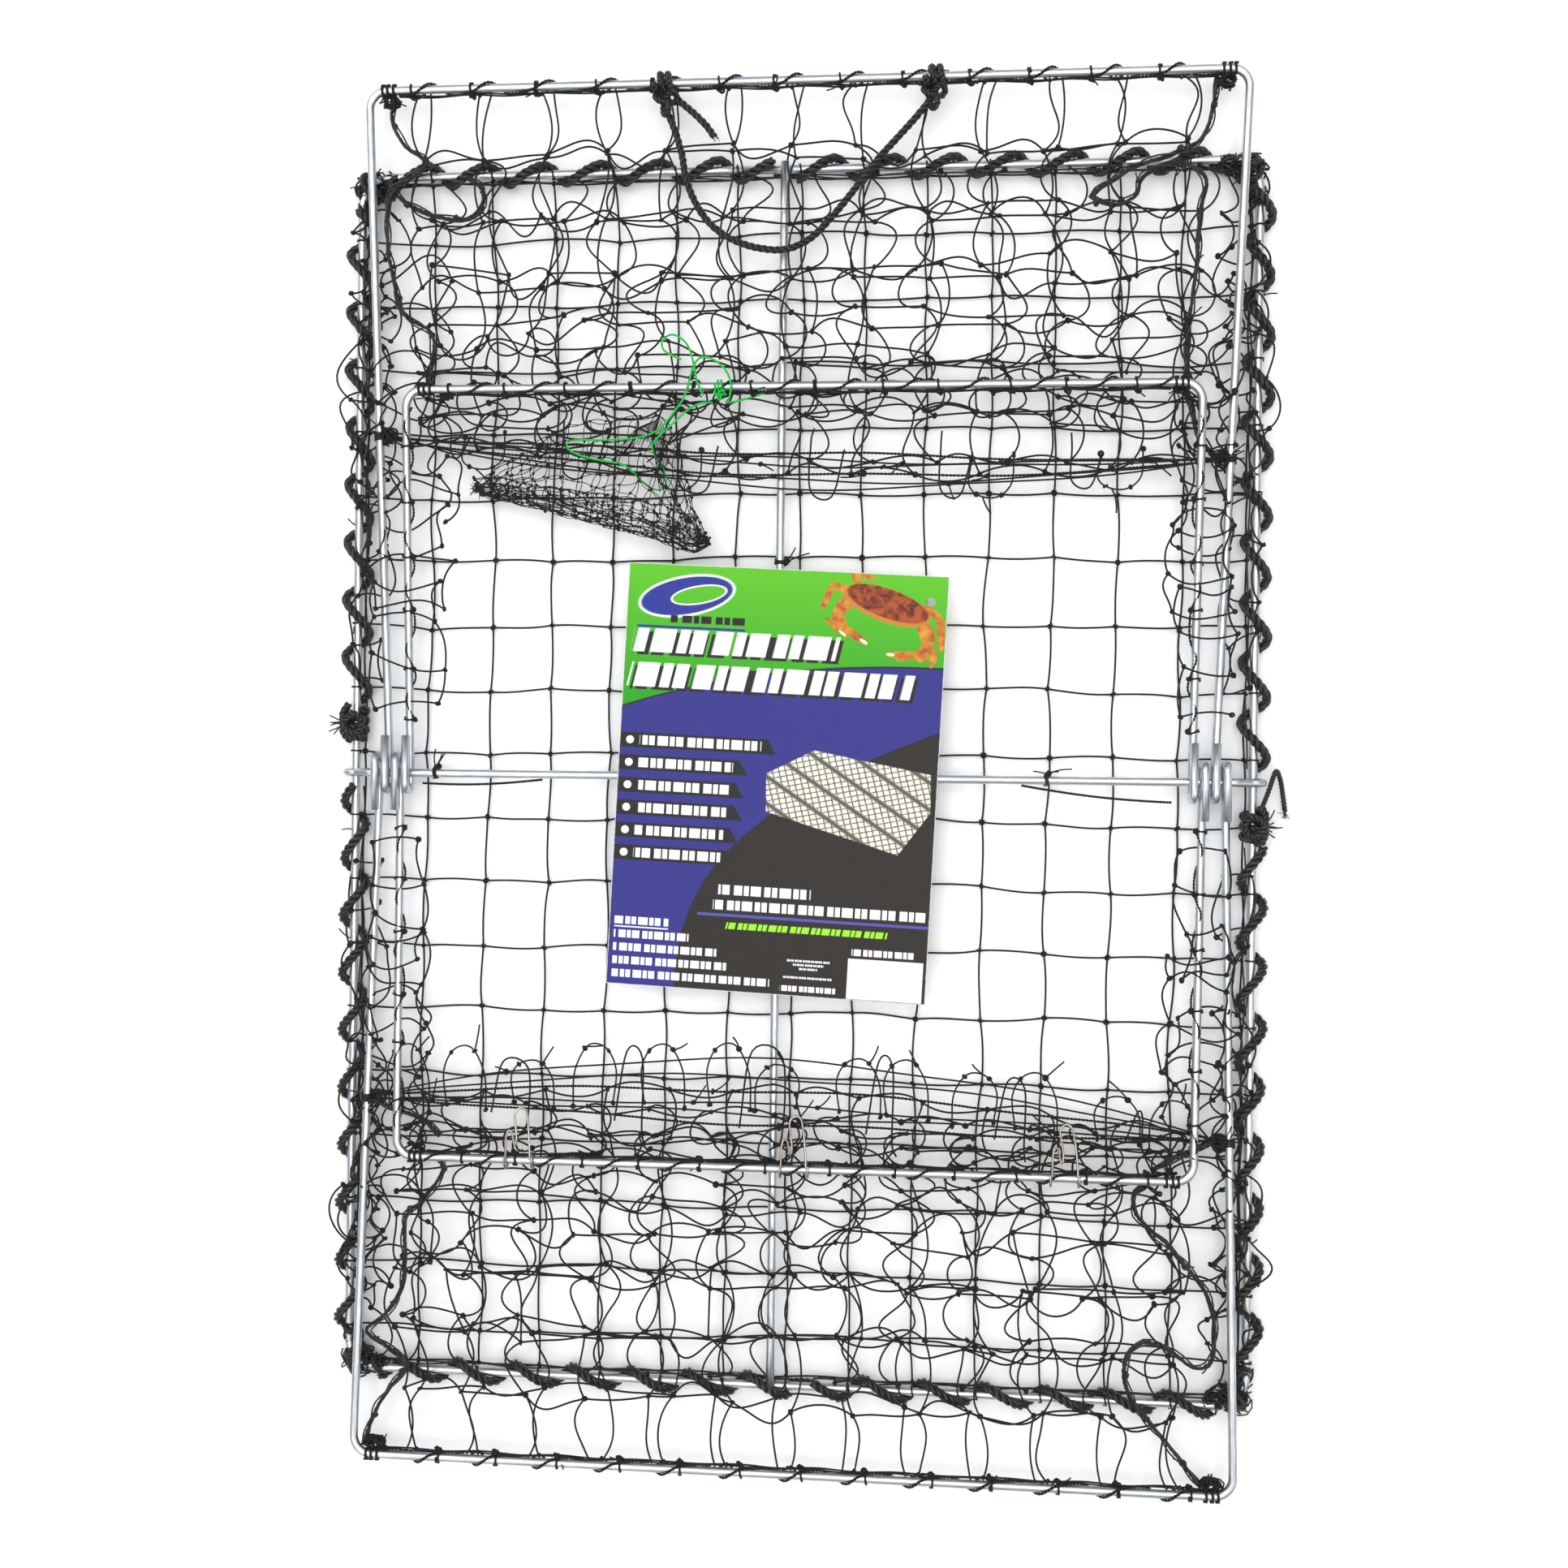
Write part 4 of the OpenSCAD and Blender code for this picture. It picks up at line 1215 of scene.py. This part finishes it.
def bait_bag():
    """A small bag of fine netting, laid flat, its mouth gathered on the drawstring."""
    s = Skein()
    top, fold, low = (smooth([(x, y, 0) for x, y in p]) for p in (BAG_TOP, BAG_FOLD, BAG_LOW))
    for layer, (upper, rows, columns, link) in enumerate(
        ((top, 8, 19, 1.02), (top, 7, 16, 1.03), (fold, 5, 21, 1.02), (fold, 6, 18, 1.04))
    ):
        u = np.linspace(0, 1, columns)
        a, b = (even(p, length(p) / (columns - 1))[:columns] for p in (upper, low))
        down = np.linspace(0, 1, rows)[:, None] ** 0.85
        down = down + 0.05 * sin(u * 17 + layer * 2)[None] * sin(math.pi * down)
        xx, yy = (
            a[None, :, k] * (1 - down) + b[None, :, k] * down + RNG.normal(0, odd, (rows, columns))
            for k, odd in ((0, 0.9), (1, 0.7))
        )
        ripple = 1.2 * sin(u * 23 + layer)[None] * sin(math.pi * down)
        zz = 22.6 + (yy - 150) * 0.016 + layer * 0.9 + ripple
        row, column = (spans(xx, yy, axis) * link for axis in (1, 0))
        net(s, xx, yy, zz, row, column, r=BAG_R, skew=0.02, knot=0.60, bump=0.5, n=7)
    # the bunched lower edge, and the gathered mouth
    for k in range(7):
        line = even(low + [0, 1.35 * k, 22.6 + 0.35 * k], 4.0)
        wob = np.arange(len(line))
        line[:, 1] += 1.1 * sin(wob / 1.7 + 2 * k)
        line[:, 0] += 0.8 * sin(wob / 1.3 + k)
        s.tubes(line, BAG_R)
    for k in range(10):
        pleat = [
            [-96 - 3 * k, 222 - 1.2 * k, 24.2], [-90 - k, 236 - 0.6 * k, 25.4],
            [-84 - 0.6 * k, 214 - 3 * k, 24.4],
        ]
        s.tubes(smooth(pleat, 5), BAG_R)
    for at in ((-213, 191, 23), (-63, 156, 23), (-70, 170, 24), (-80, 163, 23.5)):
        lump(s, at, (4.5, 3.6, 2.2), 12, r=BAG_R, loops=0)
    whiskers(s, [-212, 191, 23], 6, 7, 0.28, aim=(-1, 0.1, 0.2))
    s.make("bait_bag", BAG_TWINE, "rear_inner")


bait_bag()


# ---- Header card ----

CARD_W, CARD_L = 211.0, 279.0
CARD_MIDDLE, CARD_TURN = (-0.010, -0.003, 0.0), 2.6  # metres, degrees
WHITE, BLACK, BLUE = (0.80, 0.81, 0.80), (0.005, 0.004, 0.004), (0.010, 0.022, 0.24)
CRAB_LIMBS = (  # from x, y to x, y, half as thick as the last number
    (44, 126, 30, 131, 2.6), (30, 131, 24, 116, 2.4), (48, 130, 43, 138, 2.2),
    (43, 138, 58, 136, 1.6), (90, 119, 101, 112, 2.6), (101, 112, 103, 92, 2.6),
    (96, 116, 104, 108, 2.2), (99, 90, 97, 81, 2.2), (42, 124, 34, 112, 4.6),
    (33, 112, 38, 103, 4.2), (38, 104, 53, 94, 2.6), (27, 108, 41, 98, 2.0),
    (90, 108, 95, 96, 4.8), (95, 95, 90, 86, 4.4), (90, 87, 69, 87, 2.6), (93, 91, 76, 84, 2.0),
)
CRAB_TIPS = ((50, 96, 54, 93.5, 1.1), (72, 87, 68, 87.2, 1.1), (40, 98, 36, 101, 0.9))
NET_BOX = [(-6.7, 5), (23.9, 21.9), (100.8, 10.1), (101.9, -14.6), (82.2, -43.3), (-5.6, -19.8)]
PRINT_ROWS = (  # from x to x, lower y, height, pitch of the blocks
    (-34, 27, -76, 6.4, 6.4), (-37, 103, -86, 6.2, 6.0), (-102, -66, -99.5, 5.0, 5.4),
    (-102, -52, -108.5, 5.0, 5.0), (-102, -33, -117.2, 5.0, 5.2), (-102, -26, -125.9, 5.0, 5.0),
    (-102, 3, -134.6, 5.0, 5.2), (56, 98, -110.5, 4.2, 4.4), (14, 42, -117, 1.3, 1.7),
    (18, 38, -119.6, 1.3, 1.7), (22, 34, -122.2, 1.3, 1.7), (12, 44, -128, 1.3, 1.7),
    (10, 47, -136.5, 3.6, 3.6),
)


def card_material():
    """Printed card under a gloss film: plain generic shapes, no lettering."""
    n = Nodes("printed_card")
    coords = n.add("ShaderNodeTexCoord").outputs["Object"]
    turned = n.add(
        "ShaderNodeVectorRotate",
        {0: n.vector("SUBTRACT", coords, CARD_MIDDLE), "Angle": math.radians(CARD_TURN)},
        rotation_type="Z_AXIS",
    )
    at = n.vector("MULTIPLY", turned.outputs[0], (1000, 1000, 1000))
    x, y = n.split(at)  # millimetres from the card's middle

    def below(value, edge, soft=0.25):
        return n.ramp(value, edge - soft, edge + soft, 1.0, 0.0)

    def all_of(masks):
        return reduce(Value.__mul__, masks)

    def any_of(masks):
        return reduce(lambda a, b: n.math("MAXIMUM", a, b), masks)

    def leaned(y0, slant):
        return x + (y - y0) * slant if slant else x

    def box(x0, x1, y0, y1, slant=0.0):
        wide = abs(leaned(y0, slant) - (x0 + x1) / 2)
        tall = abs(y - (y0 + y1) / 2)
        return below(wide, abs(x1 - x0) / 2) * below(tall, abs(y1 - y0) / 2)

    def words(x0, x1, y0, y1, pitch, slant=0.0, gap=0.24):
        """A row of plain blocks of uneven width, in place of a line of print."""
        xs = leaned(y0, slant)
        wave = n.sine(xs * (2.3 / pitch) + y0) * 0.22
        block = n.math("FRACT", xs / pitch + (wave + 40.0))
        return box(x0, x1, y0, y1, slant) * n.ramp(block, gap - 0.03, gap + 0.03)

    def oval(cx, cy, rx, ry, turn=0.0):
        c, s = math.cos(math.radians(turn)), math.sin(math.radians(turn))
        dx, dy = x - cx, y - cy
        a, b = dx * (c / rx) + dy * (s / rx), dx * (-s / ry) + dy * (c / ry)
        return below(n.math("SQRT", a * a + b * b), 1.0, 0.03)

    def limb(x0, y0, x1, y1, r):
        far = math.hypot(x1 - x0, y1 - y0)
        turn = math.degrees(math.atan2(y1 - y0, x1 - x0))
        return oval((x0 + x1) / 2, (y0 + y1) / 2, far / 2 + 0.7 * r, r, turn)

    def inside(corners):
        """Inside a convex outline, whose corners run clockwise."""
        masks = []
        for (x0, y0), (x1, y1) in zip(corners, corners[1:] + corners[:1], strict=True):
            far = math.hypot(x1 - x0, y1 - y0)
            nx, ny = -(y1 - y0) / far, (x1 - x0) / far
            masks.append(below(x * nx + y * ny, nx * x0 + ny * y0, 0.3))
        return all_of(masks)

    def curve(value, power):
        return n.math("POWER", n.math("MAXIMUM", value, 0.0), power)

    def ink(mask, tint):
        nonlocal colour
        colour = n.mix(mask, colour, tint)

    rosette = n.noise(at, 1.6, 2.0)
    green = n.mix(n.ramp(y, 55, 135), (0.012, 0.285, 0.0005), (0.085, 0.43, 0.003))
    dots = n.sine(x * 2.7) * n.sine(y * 2.7)
    weave = n.sine((x + y * 1.6) * 3.4)
    violet = n.mix(n.ramp(weave, -1, 1), (0.011, 0.010, 0.155), (0.024, 0.022, 0.225))
    brown = n.mix(n.ramp(dots, -0.6, 0.8), (0.004, 0.0025, 0.0015), (0.016, 0.010, 0.006))
    # the green's lower edge, and the dark corner's edge
    edge = 80.0 - curve((107.0 - x) / 211.6, 2.2) * 34.6
    colour = n.mix(below(edge - y, 1.2, 0.3), violet, BLACK)
    ink(below(edge - y, 0.0, 0.3), green)
    sweep = curve((y + 140.0) / 178.7, 2.575) * 166.7 - 60.0
    ink(below(sweep - x, 0.0, 0.35) * below(y, 42.0, 0.3), brown)
    # two title rows with a hard shadow
    for x0, x1, y0, y1, pitch in ((-102, 34, 81, 96.5, 12.8), (-103, 84, 58, 74, 12.4)):
        ink(words(x0 + 2.2, x1 + 2.2, y0 - 2, y1 - 2, pitch, -0.2, 0.2), BLACK)
        ink(words(x0, x1, y0, y1, pitch, -0.2), WHITE)
    # a plain oval mark with a row under it
    ink(oval(-66, 119, 32.5, 13.5, 12), WHITE)
    ink(oval(-66, 119, 31, 12, 12), BLUE)
    ink(oval(-58, 120, 19, 6.2, 12), WHITE)
    ink(oval(-58, 120, 17.8, 5.2, 12), green)
    ink(words(-76, -26, 101, 106, 7.0), BLACK)
    ink(box(-98, -26, 97.2, 98.8), BLUE)
    # a plain crab: legs and claws, then the shell with its rim
    blotches = n.ramp(n.noise(at, 0.16, 4.0), 0.35, 0.65)
    flesh = n.mix(blotches, (0.32, 0.05, 0.003), (0.62, 0.27, 0.02))
    ink(any_of(limb(*part) for part in CRAB_LIMBS), flesh)
    for tip in CRAB_TIPS:
        ink(limb(*tip), (0.80, 0.70, 0.50))
    blotches = n.ramp(n.noise(at, 0.22, 5.0), 0.4, 0.62)
    ink(oval(66, 119, 29.5, 10.8, -17), (0.50, 0.17, 0.02))
    shell = n.mix(blotches, (0.10, 0.008, 0.001), (0.36, 0.065, 0.006))
    ink(oval(66.5, 120.2, 28, 9.4, -17), shell)
    # six list strips, each with a white dot and a row of blocks
    for k, far_x in enumerate((-1, -19, -21, -21, -23, -24)):
        y0 = 22.5 - 14.9 * k
        ink(box(-107, far_x, y0 - 4.9, y0 + 4.9, 0.6), BLACK)
        ink(oval(-98.5, y0, 2.6, 2.6), WHITE)
        ink(words(-92, far_x - 10, y0 - 3.0, y0 + 3.2, 6.2), WHITE)
    # a plain net box for a picture
    threads = []
    for a, b, pitch in ((1.0, 0.30, 4.4), (-0.24, 1.0, 3.6), (0.62, 1.0, 17.0)):
        run = x * a + y * b + rosette * 1.6
        threads.append(n.ramp(abs(n.sine(run * (math.pi / pitch))), 0.16, 0.46, 1.0, 0.0))
    picture = n.mix(any_of(threads) * 0.92, (0.72, 0.70, 0.60), (0.03, 0.027, 0.016))
    ink(inside(NET_BOX), picture)
    # rows of print, the rules and the blank panel
    for x0, x1, y0, tall, pitch in PRINT_ROWS:
        ink(words(x0, x1, y0, y0 + tall, pitch), WHITE)
    ink(words(-28, 78, -98.4, -94.2, 4.4, -0.2), (0.28, 0.72, 0.015))
    ink(box(-102, -66, -101.6, -100.8), WHITE)
    ink(box(-47, 108, -90.4, -88.6), (0.07, 0.065, 0.36))
    ink(box(54, 103, -138.8, -112.5), WHITE)
    # worn edges: the board's pale core shows in a fine uneven line
    rim = n.math("MINIMUM", CARD_W / 2 - abs(x), CARD_L / 2 - abs(y))
    ink(below(rim - n.noise(at, 0.5) * 0.7, 0.05, 0.2), (0.62, 0.60, 0.56))
    ink(n.ramp(rosette, 0.3, 0.7, 0.0, 0.03), (0.4, 0.4, 0.4))
    n.bump(n.noise(at, 0.03) + rosette * 0.05, 0.0016, 0.5)
    return n.finish(
        Base_Color=colour,
        Roughness=n.ramp(rosette, 0.2, 0.8, 0.42, 0.52),
        Specular_IOR_Level=0.12,
        Coat_Weight=0.10,
        Coat_Roughness=0.16,
    )


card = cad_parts["header_card"].data
card.materials.clear()
card.materials.append(card_material())


# ---- Floor, lights and world ----

FLOOR_HALF, FLOOR_Z = 4, -0.0004
AREA_LIGHTS = (  # name, place, size in metres, watts; all aim at the middle
    ("top", (0.0, 0.1, 2.0), 1.5, 27),
    ("key", (-1.7, 1.5, 2.0), 1.7, 17),
    ("fill", (1.9, -0.9, 2.0), 2.0, 13),
    ("left", (-1.2, -1.8, 2.1), 1.7, 11),
    ("right", (1.3, 1.9, 2.1), 1.7, 11),
)
SKY = (0.05, 0.95, 0.26, 0.64)  # from height to height, strength there and there


def floor():
    mesh = bpy.data.meshes.new("floor")
    corners = ((-1, -1), (1, -1), (1, 1), (-1, 1))
    points = [(FLOOR_HALF * i, FLOOR_HALF * j, FLOOR_Z) for i, j in corners]
    mesh.from_pydata(points, [], [(0, 1, 2, 3)])
    n = Nodes("floor_paper")
    grain = n.noise(n.place(), 180.0, 4.0)
    n.bump(grain, 0.0004, 0.15)
    paper = n.mix(n.ramp(grain, 0.3, 0.7), (0.90, 0.90, 0.905), (0.93, 0.93, 0.93))
    mesh.materials.append(n.finish(Base_Color=paper, Roughness=0.85))
    put(bpy.data.objects.new("floor", mesh))


def area_light(name, at, size, power):
    data = bpy.data.lights.new(name, "AREA")
    data.shape = "RECTANGLE"
    data.size = data.size_y = size
    data.energy = power
    z = unit(np.array(at, float))
    x = unit(np.cross([0.0, 1.0, 0.001], z))
    y = np.cross(z, x)
    rows = [(x[i], y[i], z[i], at[i]) for i in range(3)]
    put(bpy.data.objects.new(name, data)).matrix_world = Matrix([*rows, (0, 0, 0, 1)])


def sky():
    """An even pale world, brighter overhead than at the horizon."""
    SCENE.world = bpy.data.worlds.new("world")
    SCENE.world.use_nodes = True
    tree = SCENE.world.node_tree
    tree.nodes.clear()
    out, back, coords, split, ramp = (
        tree.nodes.new(f"ShaderNode{kind}")
        for kind in ("OutputWorld", "Background", "TexCoord", "SeparateXYZ", "MapRange")
    )
    for socket, value in enumerate(SKY, 1):
        ramp.inputs[socket].default_value = value
    back.inputs["Color"].default_value = (0.98, 0.985, 1.0, 1.0)
    tree.links.new(coords.outputs["Generated"], split.inputs[0])
    tree.links.new(split.outputs[2], ramp.inputs[0])
    tree.links.new(ramp.outputs[0], back.inputs["Strength"])
    tree.links.new(back.outputs[0], out.inputs[0])


floor()
for light in AREA_LIGHTS:
    area_light(*light)
sky()
